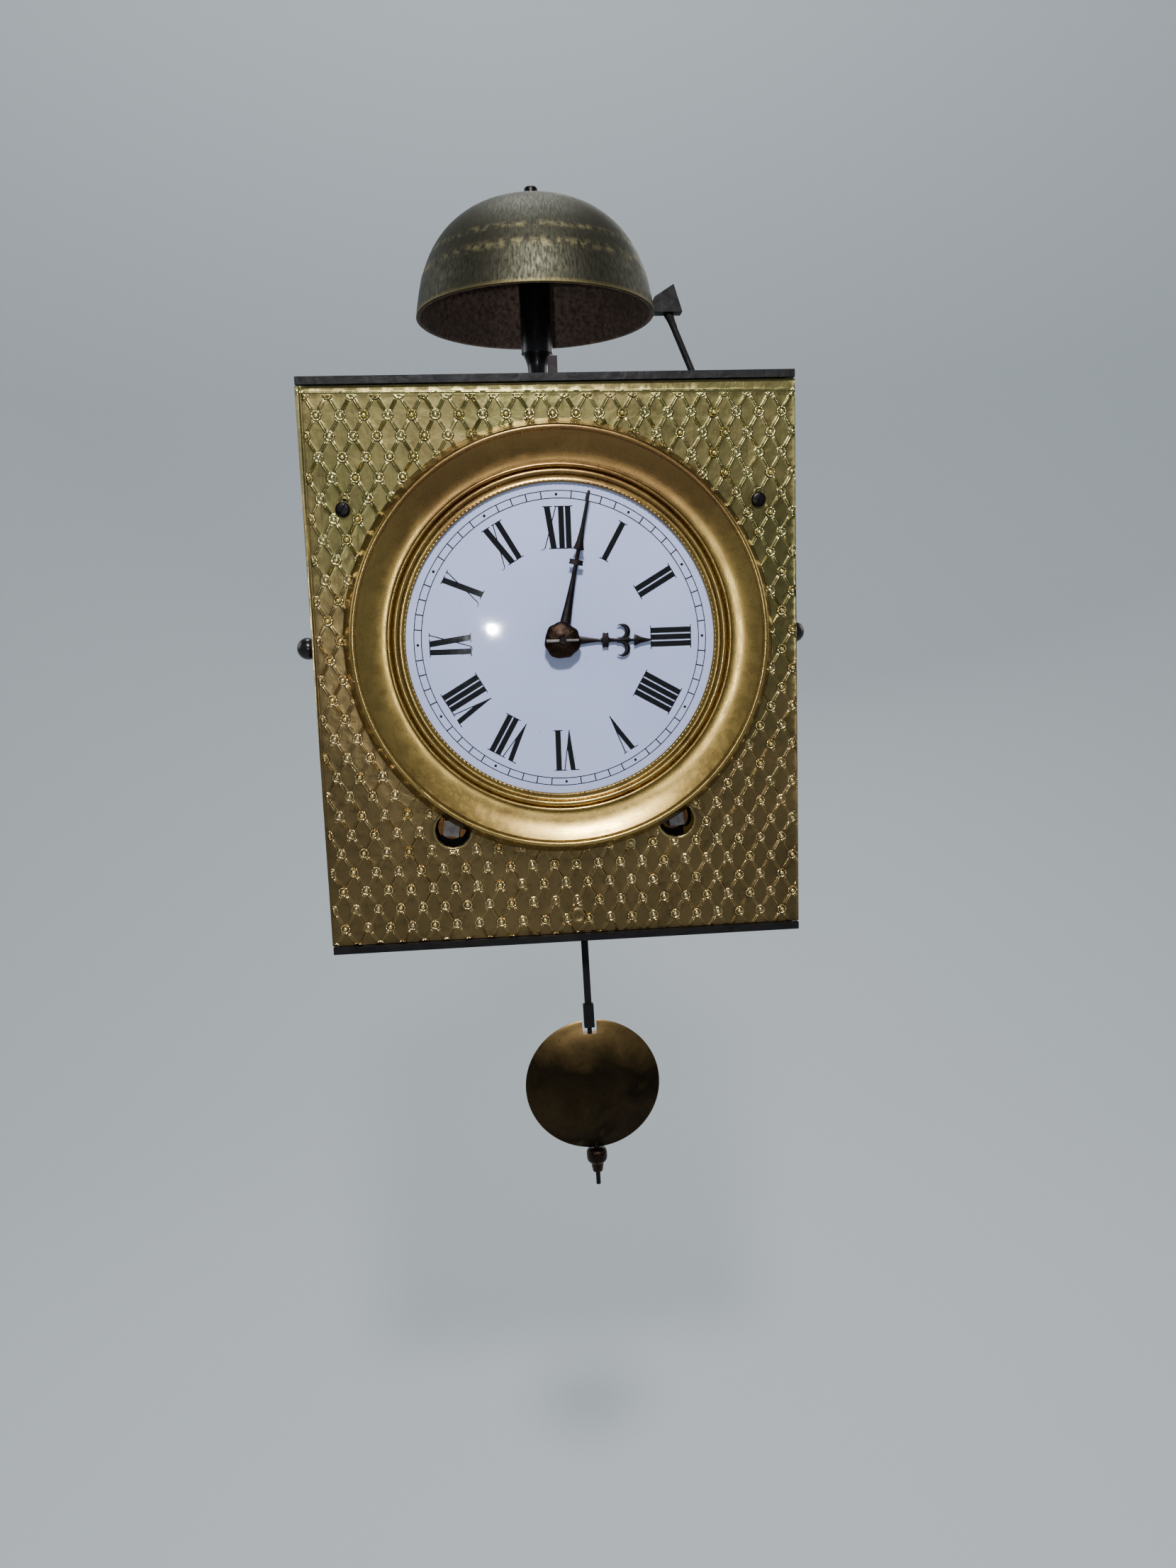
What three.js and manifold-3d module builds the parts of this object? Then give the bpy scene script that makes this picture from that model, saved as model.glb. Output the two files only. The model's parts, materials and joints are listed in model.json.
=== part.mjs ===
// Comtoise wall clock movement in its iron cage, with bell, dial, two trains and a front pendulum.
// Millimetres. X runs to the right of the dial, Y runs from the viewer to the wall, Z runs up.
// Pieces are placed from the middle of the front sheet's front face. The whole group is then moved so that
// its origin lies on the flat rear face of the stirrup that meets the wall.
import * as THREE from "three";
import { mergeVertices } from "three/addons/utils/BufferGeometryUtils.js";
import Module from "manifold-3d";

const wasm = await Module();
wasm.setup();

// Clearances
const seatGap = 0.25;
const runningGap = 0.3;
const overrun = 2;
const visibleGap = 0.5;

// Cage
const caseWidth = 199;
const caseHeight = 227;
const caseDepth = 92;
const plateThickness = 3;
const plateFrontOverhang = 2;
const wallGap = 14;
const pillarSize = 6;
const pillarInset = 4.5;
const barWidth = 14;
const barThickness = 4;
const frontBarDepth = 30;
const rearBarInset = 10;
const backPlateThickness = 1.2;
const backPlateSideInset = 3;

// Front sheet and its screws
const sheetOverhang = 0.5;
const sheetThickness = 0.75;
const windingHoleRadius = 7.5;
const windingHoleInset = 0.7;
const windingHoleRise = 0.25;
const screwSideInset = 15.3;
const screwTopInset = 47.9;
const screwHeadRadius = 3;
const screwHeadHeight = 2;
const screwShankRadius = 1.4;
const screwShankLength = 4;

// Dial and bezel
const dialX = 1;
const dialZ = 11;
const dialRadius = 65;
const dialEdgeThickness = 0.95;
const dialDome = 1.4;
const dialHoleRadius = 5;
const dialSeatWidth = 3;
const dialCover = 1.7;
const bezelFootRadius = 88.5;
const bezelHeight = 9.4;
const bezelRingCount = 40;
// Front face from the foot to the inner lip, then back behind it, as shares of the ring's width and height
const bezelFrontShares = [
  [1, 0], [0.945, 0.4], [0.875, 0.9], [0.82, 1], [0.76, 0.93], [0.6, 0.74], [0.45, 0.57], [0.3, 0.37],
  [0.265, 0.44], [0.23, 0.3], [0.165, 0.43], [0.1, 0.26], [0.03, 0.33], [0, 0.26],
];
const bezelBackShares = [
  [0, 0.16], [0.23, 0.18], [0.45, 0.44], [0.76, 0.8], [0.84, 0.84], [0.9, 0.4], [0.965, 0],
];

// Winding squares and the trains
const trainX = 47.9;
const windingZ = -66.25;
const windingSquareSize = 6.5;
const windingSquareEndDepth = 3.5;
const windingSquareLength = 21;
const windingArborRadius = 3.5;
const windingPivotRadius = 2;
const windingTurnLeft = 9;
const windingTurnRight = -7;
const arborRadius = 2.2;
const pivotRadius = 1.6;
const pivotReach = 3;
const arborSides = 10;
const holeSides = 12;

// Tooth shapes as shares of the module (heights) and of the pitch (widths)
const wheelAddendumShare = 0.9;
const wheelDedendumShare = 1.2;
const wheelRootShare = 0.52;
const wheelTipShare = 0.14;
const leafAddendumShare = 0.5;
const leafDedendumShare = 1.4;
const leafRootShare = 0.38;
const leafTipShare = 0.14;
const wheelThickness = 2;
const wheelRimShare = 0.84;
const wheelHubShare = 0.24;
const wheelSpokeShare = 0.08;
const wheelSpokes = 4;
const wheelWindowSteps = 4;
const leafLength = 4.5;
const leafCount = 8;

// Going train and strike train
const greatTeeth = 40;
const greatModule = 2;
const greatWheelDepth = 38;
const greatWheelThickness = 2.5;
const centreTeeth = 40;
const centreModule = 1.8;
const centreWheelInset = 5.5;
const thirdTeeth = 36;
const thirdModule = 1.4;
const thirdWheelDepth = 44;
const pinWheelTeeth = 40;
const lockingTeeth = 36;
const escapeTeeth = 24;
const escapeRadius = 22;
const escapeRootRadius = 18;
const escapeToothShare = 0.42;
const escapeLeanShare = 0.3;
const escapeTipShare = 0.06;
const escapeInset = 20;
const escapePhaseShare = 0.25;

// Barrels with ratchet and click
const drumRadius = 20;
const drumFlangeRadius = 22;
const drumFlangeThickness = 1.6;
const drumEndGap = 2.75;
const drumSides = 28;
const ratchetTeeth = 12;
const ratchetTipRadius = 16;
const ratchetRootRadius = 13.2;
const ratchetThickness = 2;
const clickPivotX = 16;
const clickPivotZ = 16.5;
const clickEyeRadius = 2.6;
const clickStudRadius = 1;
const clickThickness = 1.75;
const clickTipLength = 2.2;

// Motion work behind the dial
const driveTeeth = 32;
const driveWheelDepth = 24.5;
const motionCentres = 34;
const cannonLeaves = 8;
const reverseTeeth = 24;
const hourTeeth = 32;
const hourWheelDepth = 17.5;
const hourWheelThickness = 1.5;
const reverseWheelDepth = 20.75;
const hourPipeRadius = 3.5;
const hourPipeBore = 2.6;
const hourPipeFront = -5.2;
const minuteArborRadius = 2.2;
const minuteArborEndRadius = 1.5;
const minuteArborEndDepth = -12.2;
const snailRadius = 19;
const snailStep = 1.2;
const snailLeadShare = 0.27;
const snailThickness = 1.5;
const hoursOnDial = 12;

// Hands
const minuteAngle = 12.4;
const hourAngle = 91.5;
const handThickness = 0.8;
const minuteHandDepth = -7;
const hourHandDepth = -4.3;
const minuteHubRadius = 5.2;
const minuteHandLength = 60.5;
const minuteArmEnd = 30;
const minuteArmWidth = 4.7;
const minuteArmTipWidth = 1.6;
const minuteCrossStart = 30.8;
const minuteCrossEnd = 32.8;
const minuteCrossWidth = 5.8;
const minuteFlareStart = 37;
const minuteFlareWidth = 4.7;
const minuteTipWidth = 1.3;
const hourHubRadius = 6;
const hourHandLength = 37;
const hourArmWidth = 4;
const hourArmTipWidth = 1.5;
const hourCrossStart = 16.8;
const hourCrossEnd = 19.2;
const hourCrossWidth = 6.4;
const hourArrowStart = 30;
const hourArrowWidth = 4.8;
const hourTipWidth = 0.8;
const moonCentre = 25;
const moonSpread = 3.5;
const moonRadius = 3.2;
const moonHollowRadius = 2.4;
const moonHollowShift = 1.3;
const bossRadius = 7.75;
const bossEdgeHeight = 0.6;
const bossHeight = 2.8;
const bossTopRadius = 3.4;
const pinRadius = 0.7;
const pinLength = 13;

// Bell, stand and nut
const bellX = -2.4;
const bellY = 40;
const bellRimRadius = 51;
const bellRimRise = 31.5;
const bellHeight = 47.2;
const bellWall = 1.8;
const bellRingCount = 32;
// Outer profile from the rim to the crown, as shares of the rim radius and of the height
const bellShares = [
  [1, 0], [0.975, 0.17], [0.93, 0.36], [0.85, 0.55], [0.73, 0.72], [0.56, 0.86], [0.36, 0.95], [0.14, 1],
];
const bellHoleRadius = 2.8;
const standFootRadius = 5.2;
const standNeckRadius = 4.2;
const standRadius = 6.7;
const standNeckRise = 13.5;
const standShoulderRise = 20.5;
const standThreadRadius = 2.4;
const bellNutRadius = 2.9;
const bellNutHeight = 2.5;

// Hammer
const hammerArborInset = 25.5;
const hammerPlaneY = bellY;
const hammerStemRadius = 1.45;
const hammerStemSetback = 6.9;
const hammerStemPlateX = 70.2;
const hammerStemBendX = 73.4;
const hammerStemBendInset = 8.5;
const hammerHeadRise = 1.7;
const hammerHeadThickness = 6.5;
const hammerNoseHeight = 6.3;
const hammerHeadLength = 12;
const hammerHeadHeight = 11.4;
const hammerPeakInset = 3.6;
const hammerToBell = 0.4;
const hammerSlotBefore = 4.2;
const hammerSlotAfter = 7.8;
const hammerSlotWidth = 5.6;
const hammerTailReach = 18.1;
const hammerTailBendDrop = 18;
const hammerTailFootReach = 6.1;
const hammerTailFootGap = 3.55;
const hammerTailWidth = 4;
const hammerTailInset = 2.5;
const hammerTailThickness = 1.5;
const liftingPinCircle = 31;
const liftingPinRadius = 1.2;
const liftingPinLength = 2.2;
const liftingPins = 8;

// Locking wheel and fly
const flySpan = 40;
const flyEndInset = 14;
const flyThickness = 0.8;
const flyDepth = 50;

// Strike rack
const rackWidth = 6;
const rackInset = 3.9;
const rackFootRise = 35;
const rackTopInset = 7.5;
const rackPlainLength = 26;
const rackThickness = 2;
const rackToothDepth = 1.2;
const rackFingerWidth = 3;
const rackArmHeight = 4;

// Pendulum, anchor and crutch
const pendulumX = 2.5;
const pendulumY = 14.5;
const pendulumRestTilt = 1.3;
const postSize = 3.8;
const postRise = 10;
const postSeatRise = 5.14;
const springThickness = 0.4;
const springWidth = 5;
const springReach = 14.14;
const chopWidth = 5;
const chopHeight = 8;
const chopThickness = 4;
const rodWidth = 3;
const rodThickness = 2;
const rodEyeRadius = 15;
const rodEyeBore = 12;
const rodEndDrop = 4.3;
const crossWidth = 8.2;
const crossHeight = 2.4;
const lowerRodWidth = 3;
const hookWidth = 4.6;
const hookHeight = 10.5;
const hookThickness = 3.4;
const lowerRodLength = 29.7;
const threadRadius = 1.05;
const threadDrop = 48;
const bobRadius = 30.25;
const bobThickness = 9;
const bobEdgeThickness = 0.7;
const bobDrop = 37.5;
const bobChannelWidth = 2.7;
const bobNotchWidth = 6.4;
const bobNotchDepth = 6;
const bobRingCount = 36;
const bobShares = [[0, 1], [0.4, 0.86], [0.7, 0.56], [0.9, 0.2]];
const nutRadius = 4.65;
const nutHeight = 7;
const collarRadius = 2.15;
const collarTopRadius = 3;
const collarHeight = 4.2;
const crutchDepth = 17.5;
const crutchThickness = 2;
const crutchWidth = 4;
const crutchDrop = 28;
const forkPinRadius = 0.9;
const forkPinReach = 5.5;
const palletThickness = 3;
const palletWidth = 1.3;
const palletClearance = 0.8;
const anchorWidth = 5;
const anchorHubRadius = 5;

// Doors
const doorThickness = 1;
const doorOuterInset = 2;
const doorFrontClearance = 1.25;
const hingeInset = 4.5;
const hingeRollRadius = 1.3;
const hingePinRadius = 0.9;
const hingePinLength = 2;
const knobY = 27;
const knobZ = 11;
const knobRadius = 4.75;
const knobReach = 6.5;
const knobSteps = 6;
const knobNeckRadius = 1.8;
const knobFootRadius = 3;
const knobFootHeight = 1;

// Openings in the top and bottom plates
const postHoleClearance = 0.3;
const pendulumSlotLength = 31;
const pendulumSlotWidth = 6.5;
const cordSlotWidth = 12;

// Stirrup and wall spurs
const stirrupTopInset = 20.5;
const stirrupWidth = 48;
const stirrupStrap = 2.5;
const stirrupHeight = 12;
const stirrupFoot = 10;
const spurSideInset = 24.5;
const spurBottomInset = 18.5;
const spurRadius = 2.5;
const spurTipRadius = 1.6;
const spurFlangeRadius = 6;
const spurFlangeThickness = 2;

// Places worked out from the sizes above
const plateInnerZ = caseHeight / 2;
const topPlateZ = plateInnerZ + plateThickness;
const sideX = caseWidth / 2;
const frontToWall = caseDepth + wallGap;
const rearBarDepth = caseDepth - rearBarInset;
const centreWheelDepth = rearBarDepth - centreWheelInset;
const escapeDepth = rearBarDepth - escapeInset;
const flyLength = rearBarDepth - flyEndInset - flyDepth;
const hammerTailDepth = rearBarDepth - hammerTailInset;
const hingeY = caseDepth - hingeInset;
const sheetWidth = caseWidth + 2 * sheetOverhang;
const sheetDialHoleRadius = dialRadius - dialSeatWidth;
const bezelInnerRadius = dialRadius - dialCover;
const screwX = sideX - screwSideInset;
const screwZ = plateInnerZ - screwTopInset;
const windingHoleX = trainX - windingHoleInset;
const windingHoleZ = windingZ + windingHoleRise;
const knobCentreX = sideX + knobReach;
const stirrupZ = plateInnerZ - stirrupTopInset;
const spurX = sideX - spurSideInset;
const spurZ = spurBottomInset - plateInnerZ;
const pillarX = sideX - pillarInset - pillarSize / 2;
const backPlateY = caseDepth - backPlateThickness;
const centreZ = windingZ + (greatModule * (greatTeeth + leafCount)) / 2;
const thirdZ = centreZ + (centreModule * (centreTeeth + leafCount)) / 2;
const escapeZ = thirdZ + (thirdModule * (thirdTeeth + leafCount)) / 2;
const anchorZ = escapeZ + escapeRadius * Math.SQRT2;
const pinWheelModule = (2 * (thirdZ - centreZ)) / (pinWheelTeeth + leafCount);
const lockingModule = (2 * (escapeZ - thirdZ)) / (lockingTeeth + leafCount);
const driveDistance = Math.hypot(dialX + trainX, dialZ - centreZ);
const driveModule = driveDistance / driveTeeth;
const driveDirection = Math.atan2(dialZ - centreZ, dialX + trainX);
const cannonModule = (2 * motionCentres) / (cannonLeaves + reverseTeeth);
const hourModule = (2 * motionCentres) / (leafCount + hourTeeth);
const reverseZ = dialZ - motionCentres;
const clickDepth = greatWheelDepth + greatWheelThickness + seatGap;
const ratchetDepth = clickDepth + visibleGap;
const drumDepth = ratchetDepth + ratchetThickness;
const drumLength = centreWheelDepth - drumEndGap - drumDepth;
const doorX = sideX - doorOuterInset;
const hingeX = doorX - doorThickness / 2;
const bellRimZ = topPlateZ + bellRimRise;
const standNeckZ = topPlateZ + standNeckRise;
const standShoulderZ = topPlateZ + standShoulderRise;
const hammerArborX = trainX;
const hammerArborZ = plateInnerZ - hammerArborInset;
const hammerNoseX = bellX + bellRimRadius + hammerToBell;
const hammerStemTopX = hammerNoseX + hammerStemSetback;
const hammerStemBendZ = plateInnerZ - hammerStemBendInset;
const hammerHeadBottomZ = bellRimZ + hammerHeadRise;
const hammerSlotLeft = hammerStemPlateX - hammerSlotBefore;
const hammerSlotRight = hammerStemPlateX + hammerSlotAfter;
const hammerTailX = hammerArborX + hammerTailReach;
const hammerTailBendZ = hammerArborZ - hammerTailBendDrop;
const hammerTailFootX = hammerArborX + hammerTailFootReach;
const hammerTailEndZ = centreZ + liftingPinCircle + liftingPinRadius + hammerTailFootGap;
const rackX = trainX - rackInset;
const rackBottomZ = dialZ + rackFootRise;
const rackTopZ = plateInnerZ - rackTopInset;
const rackTeethZ = rackTopZ - rackPlainLength;
const postTopZ = topPlateZ + postRise;
const postBottomZ = anchorZ + postSeatRise;
const springTopZ = anchorZ + springReach;
const rodEndZ = -topPlateZ - rodEndDrop;
const hookTopZ = rodEndZ - lowerRodLength;
const bobZ = hookTopZ - bobDrop;
const threadEndZ = bobZ - threadDrop;

// Materials
function finish(color, roughness, metalness) {
  return new THREE.MeshStandardMaterial({ color, roughness, metalness });
}
const iron = () => finish(0x2b2a2c, 0.55, 0.9);
const steel = () => finish(0x6f6d6b, 0.4, 1);
const brass = () => finish(0xb08b3a, 0.35, 1);
const bronze = () => finish(0x5d5236, 0.45, 1);

// Closed geometry from any geometry: merged points, no empty faces, faces pointing out
function closed(geometry) {
  const bare = geometry.clone();
  bare.deleteAttribute("normal");
  bare.deleteAttribute("uv");
  const merged = mergeVertices(bare);
  const points = merged.attributes.position;
  const kept = [];
  let volume = 0;
  const corners = [new THREE.Vector3(), new THREE.Vector3(), new THREE.Vector3()];
  for (let i = 0; i < merged.index.count; i += 3) {
    const face = [merged.index.getX(i), merged.index.getX(i + 1), merged.index.getX(i + 2)];
    if (face[0] === face[1] || face[1] === face[2] || face[2] === face[0]) continue;
    face.forEach((index, n) => corners[n].fromBufferAttribute(points, index));
    volume += corners[0].dot(corners[1].clone().cross(corners[2]));
    kept.push(...face);
  }
  if (volume < 0) kept.reverse();
  merged.setIndex(kept);
  return merged;
}

function toSolid(geometry) {
  const mesh = closed(geometry);
  const vertProperties = Float32Array.from(mesh.attributes.position.array);
  const triVerts = Uint32Array.from(mesh.index.array);
  return new wasm.Manifold(new wasm.Mesh({ numProp: 3, vertProperties, triVerts }));
}

function toGeometry(solid) {
  const mesh = solid.getMesh();
  const geometry = new THREE.BufferGeometry();
  geometry.setAttribute("position", new THREE.BufferAttribute(Float32Array.from(mesh.vertProperties), 3));
  geometry.setIndex(Array.from(mesh.triVerts));
  return geometry;
}

function joined(...geometries) {
  return toGeometry(geometries.map(toSolid).reduce((sum, next) => sum.add(next)));
}

function cut(geometry, ...cutters) {
  return toGeometry([geometry, ...cutters].map(toSolid).reduce((rest, cutter) => rest.subtract(cutter)));
}

const clock = new THREE.Group();
clock.position.set(0, -frontToWall, -stirrupZ);

function add(name, geometry, material, parent = clock) {
  const mesh = new THREE.Mesh(closed(geometry), material);
  mesh.name = name;
  parent.add(mesh);
  return mesh;
}

// Box from its two opposite corners
function block(x0, x1, y0, y1, z0, z1) {
  const box = new THREE.BoxGeometry(Math.abs(x1 - x0), y1 - y0, z1 - z0);
  return box.translate((x0 + x1) / 2, (y0 + y1) / 2, (z0 + z1) / 2);
}

// Flat piece of a front view outline, from depth y0 to y0 + thickness
function plateOf(outline, y0, thickness) {
  const options = { depth: thickness, bevelEnabled: false, curveSegments: 8 };
  return new THREE.ExtrudeGeometry(outline, options).rotateX(Math.PI / 2).translate(0, y0 + thickness, 0);
}

// Round piece about the Y axis from [radius, depth] points, moved to (x, z)
function turned(points, sides, x, z) {
  const profile = points.map(([radius, depth]) => new THREE.Vector2(radius, depth));
  return new THREE.LatheGeometry(profile, sides).translate(x, 0, z);
}

// Round piece about the Z axis from [radius, height] points, moved to (x, y)
function upright(points, sides, x, y) {
  const profile = points.map(([radius, height]) => new THREE.Vector2(radius, height));
  return new THREE.LatheGeometry(profile, sides).rotateX(Math.PI / 2).translate(x, y, 0);
}

function roundBar(radius, y0, y1, x, z, sides = arborSides) {
  return turned([[0, y0], [radius, y0], [radius, y1], [0, y1]], sides, x, z);
}

// Round bar between two points in the plane at depth y
function slantedBar(radius, xa, za, xb, zb, y) {
  const from = new THREE.Vector3(xa, y, za);
  const to = new THREE.Vector3(xb, y, zb);
  const bar = new THREE.CylinderGeometry(radius, radius, from.distanceTo(to), arborSides);
  const turn = new THREE.Quaternion().setFromUnitVectors(
    new THREE.Vector3(0, 1, 0), to.clone().sub(from).normalize(),
  );
  const middle = from.add(to).multiplyScalar(1 / 2);
  return bar.applyQuaternion(turn).translate(middle.x, middle.y, middle.z);
}

// Outline from [x, z] points
function outlineOf(points) {
  return new THREE.Shape(points.map(([x, z]) => new THREE.Vector2(x, z)));
}

function polar(radius, angle) {
  return [radius * Math.cos(angle), radius * Math.sin(angle)];
}

// Toothed outline whose first tooth points at the given angle
function toothedOutline(teeth, module, addendumShare, dedendumShare, rootShare, tipShare, angle) {
  const pitchRadius = (teeth * module) / 2;
  const root = pitchRadius - dedendumShare * module;
  const tip = pitchRadius + addendumShare * module;
  const halfStep = Math.PI / teeth;
  const points = [];
  for (let tooth = 0; tooth < teeth; tooth += 1) {
    const middle = angle + 2 * tooth * halfStep;
    points.push(polar(root, middle - rootShare * halfStep));
    points.push(polar(tip, middle - tipShare * halfStep));
    points.push(polar(tip, middle + tipShare * halfStep));
    points.push(polar(root, middle + rootShare * halfStep));
  }
  return outlineOf(points);
}

// Windows between the spokes of a wheel
function windowsBetweenSpokes(outline, radius, angle) {
  const outer = radius * wheelRimShare;
  const inner = radius * wheelHubShare;
  for (let spoke = 0; spoke < wheelSpokes; spoke += 1) {
    const start = angle + (2 * Math.PI * spoke) / wheelSpokes;
    const end = start + (2 * Math.PI) / wheelSpokes;
    const outerShift = wheelSpokeShare;
    const innerShift = (wheelSpokeShare * outer) / inner;
    const hole = [];
    for (let i = 0; i <= wheelWindowSteps; i += 1) {
      const turn = start + outerShift + ((end - start - 2 * outerShift) * i) / wheelWindowSteps;
      hole.push(new THREE.Vector2(...polar(outer, turn)));
    }
    hole.push(new THREE.Vector2(...polar(inner, end - innerShift)));
    hole.push(new THREE.Vector2(...polar(inner, start + innerShift)));
    outline.holes.push(new THREE.Path(hole));
  }
}

function roundHole(outline, radius, x = 0, z = 0) {
  const hole = [];
  for (let i = 0; i < holeSides; i += 1) {
    const [dx, dz] = polar(radius, (2 * Math.PI * i) / holeSides);
    hole.push(new THREE.Vector2(x + dx, z + dz));
  }
  outline.holes.push(new THREE.Path(hole));
}

function wheelOutline(teeth, module, angle, spokeAngle = angle) {
  const shares = [wheelAddendumShare, wheelDedendumShare, wheelRootShare, wheelTipShare];
  const outline = toothedOutline(teeth, module, ...shares, angle);
  windowsBetweenSpokes(outline, (teeth * module) / 2, spokeAngle);
  return outline;
}

function pinion(leaves, module, angle, y0, length, x, z) {
  const shares = [leafAddendumShare, leafDedendumShare, leafRootShare, leafTipShare];
  return plateOf(toothedOutline(leaves, module, ...shares, angle), y0, length).translate(x, 0, z);
}

const up = Math.PI / 2;
const down = -Math.PI / 2;

// Angle of a leaf when the gap between two leaves points at the given angle
function gapAt(angle, teeth) {
  return angle + Math.PI / teeth;
}

// Top and bottom plates with their openings
function cagePlates() {
  const top = block(-sideX, sideX, -plateFrontOverhang, caseDepth, plateInnerZ, topPlateZ);
  const bottom = block(-sideX, sideX, -plateFrontOverhang, caseDepth, -topPlateZ, -plateInnerZ);
  const half = postSize / 2 + postHoleClearance;
  const through = [plateInnerZ - overrun, topPlateZ + overrun];
  const below = [-topPlateZ - overrun, -plateInnerZ + overrun];
  const cutters = [
    block(pendulumX - half, pendulumX + half, pendulumY - half, pendulumY + half, ...through),
    block(
      hammerSlotLeft, hammerSlotRight, hammerPlaneY - hammerSlotWidth / 2,
      hammerPlaneY + hammerSlotWidth / 2, ...through,
    ),
  ];
  const slots = [
    block(
      pendulumX - pendulumSlotLength / 2, pendulumX + pendulumSlotLength / 2,
      pendulumY - pendulumSlotWidth / 2, pendulumY + pendulumSlotWidth / 2, ...below,
    ),
  ];
  for (const side of [-1, 1]) {
    const pinHole = hingePinRadius + runningGap;
    const hole = (z0, z1) => upright(
      [[0, z0], [pinHole, z0], [pinHole, z1], [0, z1]], holeSides, side * hingeX, hingeY,
    );
    cutters.push(hole(...through));
    slots.push(hole(...below));
    const cordX = side * trainX + drumRadius;
    slots.push(
      block(
        cordX - cordSlotWidth / 2, cordX + cordSlotWidth / 2, drumDepth, drumDepth + drumLength, ...below,
      ),
    );
  }
  add("top_plate", cut(top, ...cutters), iron());
  add("bottom_plate", cut(bottom, ...slots), iron());
}

// Square corner pillars between the plates
function pillars() {
  const frontY = sheetThickness + seatGap;
  const rearY = backPlateY - seatGap - pillarSize;
  for (const [side, sideName] of [[-1, "left"], [1, "right"]]) {
    for (const [y, endName] of [[frontY, "front"], [rearY, "rear"]]) {
      const x = side * pillarX;
      const post = block(
        x - pillarSize / 2, x + pillarSize / 2, y, y + pillarSize, -plateInnerZ, plateInnerZ,
      );
      add("pillar_" + endName + "_" + sideName, post, iron());
    }
  }
}

// Upright movement bar with round pivot holes given as [height, radius]
function movementBar(name, x, y, width, holes) {
  const half = width / 2;
  const outline = outlineOf(
    [[-half, -plateInnerZ], [half, -plateInnerZ], [half, plateInnerZ], [-half, plateInnerZ]],
  );
  for (const [z, radius] of holes) roundHole(outline, radius + runningGap, 0, z);
  add(name, plateOf(outline, y, barThickness).translate(x, 0, 0), iron());
}

function movementBars() {
  const upper = [[thirdZ, pivotRadius], [escapeZ, pivotRadius]];
  const frontLeft = [
    [windingZ, windingArborRadius], [centreZ, arborRadius], ...upper, [anchorZ, arborRadius],
  ];
  const frontRight = [
    [windingZ, windingArborRadius], [centreZ, pivotRadius], ...upper, [hammerArborZ, pivotRadius],
  ];
  const rear = [[windingZ, windingPivotRadius], [centreZ, pivotRadius], ...upper];
  movementBar("front_bar_left", -trainX, frontBarDepth, barWidth, frontLeft);
  movementBar("front_bar_right", trainX, frontBarDepth, barWidth, frontRight);
  movementBar(
    "front_bar_centre", dialX, frontBarDepth, barWidth, [[dialZ, pivotRadius], [reverseZ, pivotRadius]],
  );
  movementBar("rear_bar_left", -trainX, rearBarDepth, barWidth, [...rear, [anchorZ, pivotRadius]]);
  movementBar("rear_bar_right", trainX, rearBarDepth, barWidth, [...rear, [hammerArborZ, pivotRadius]]);
}

// Sheet iron back, stirrup that hangs on the wall hook, and two spurs that hold the case off the wall
function backAndHanging() {
  const half = sideX - backPlateSideInset - pillarInset / 2;
  const back = block(-half, half, backPlateY, caseDepth, -plateInnerZ + seatGap, plateInnerZ - seatGap);
  add("back_plate", back, iron());
  const inner = stirrupWidth / 2 - stirrupStrap;
  const outer = stirrupWidth / 2;
  const foot = outer + stirrupFoot;
  const near = caseDepth + seatGap;
  const strap = [
    [foot, near], [foot, near + stirrupStrap], [outer, near + stirrupStrap], [outer, frontToWall],
    [-outer, frontToWall], [-outer, near + stirrupStrap], [-foot, near + stirrupStrap], [-foot, near],
    [-inner, near], [-inner, frontToWall - stirrupStrap], [inner, frontToWall - stirrupStrap],
    [inner, near],
  ];
  const stirrup = new THREE.ExtrudeGeometry(
    outlineOf(strap), { depth: stirrupHeight, bevelEnabled: false },
  );
  add("hanging_stirrup", stirrup.translate(0, 0, stirrupZ - stirrupHeight / 2), iron());
  for (const [side, sideName] of [[-1, "left"], [1, "right"]]) {
    const profile = [
      [0, near], [spurFlangeRadius, near], [spurFlangeRadius, near + spurFlangeThickness],
      [spurRadius, near + spurFlangeThickness], [spurTipRadius, frontToWall], [0, frontToWall],
    ];
    add("wall_spur_" + sideName, turned(profile, holeSides, side * spurX, spurZ), iron());
  }
}

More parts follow.
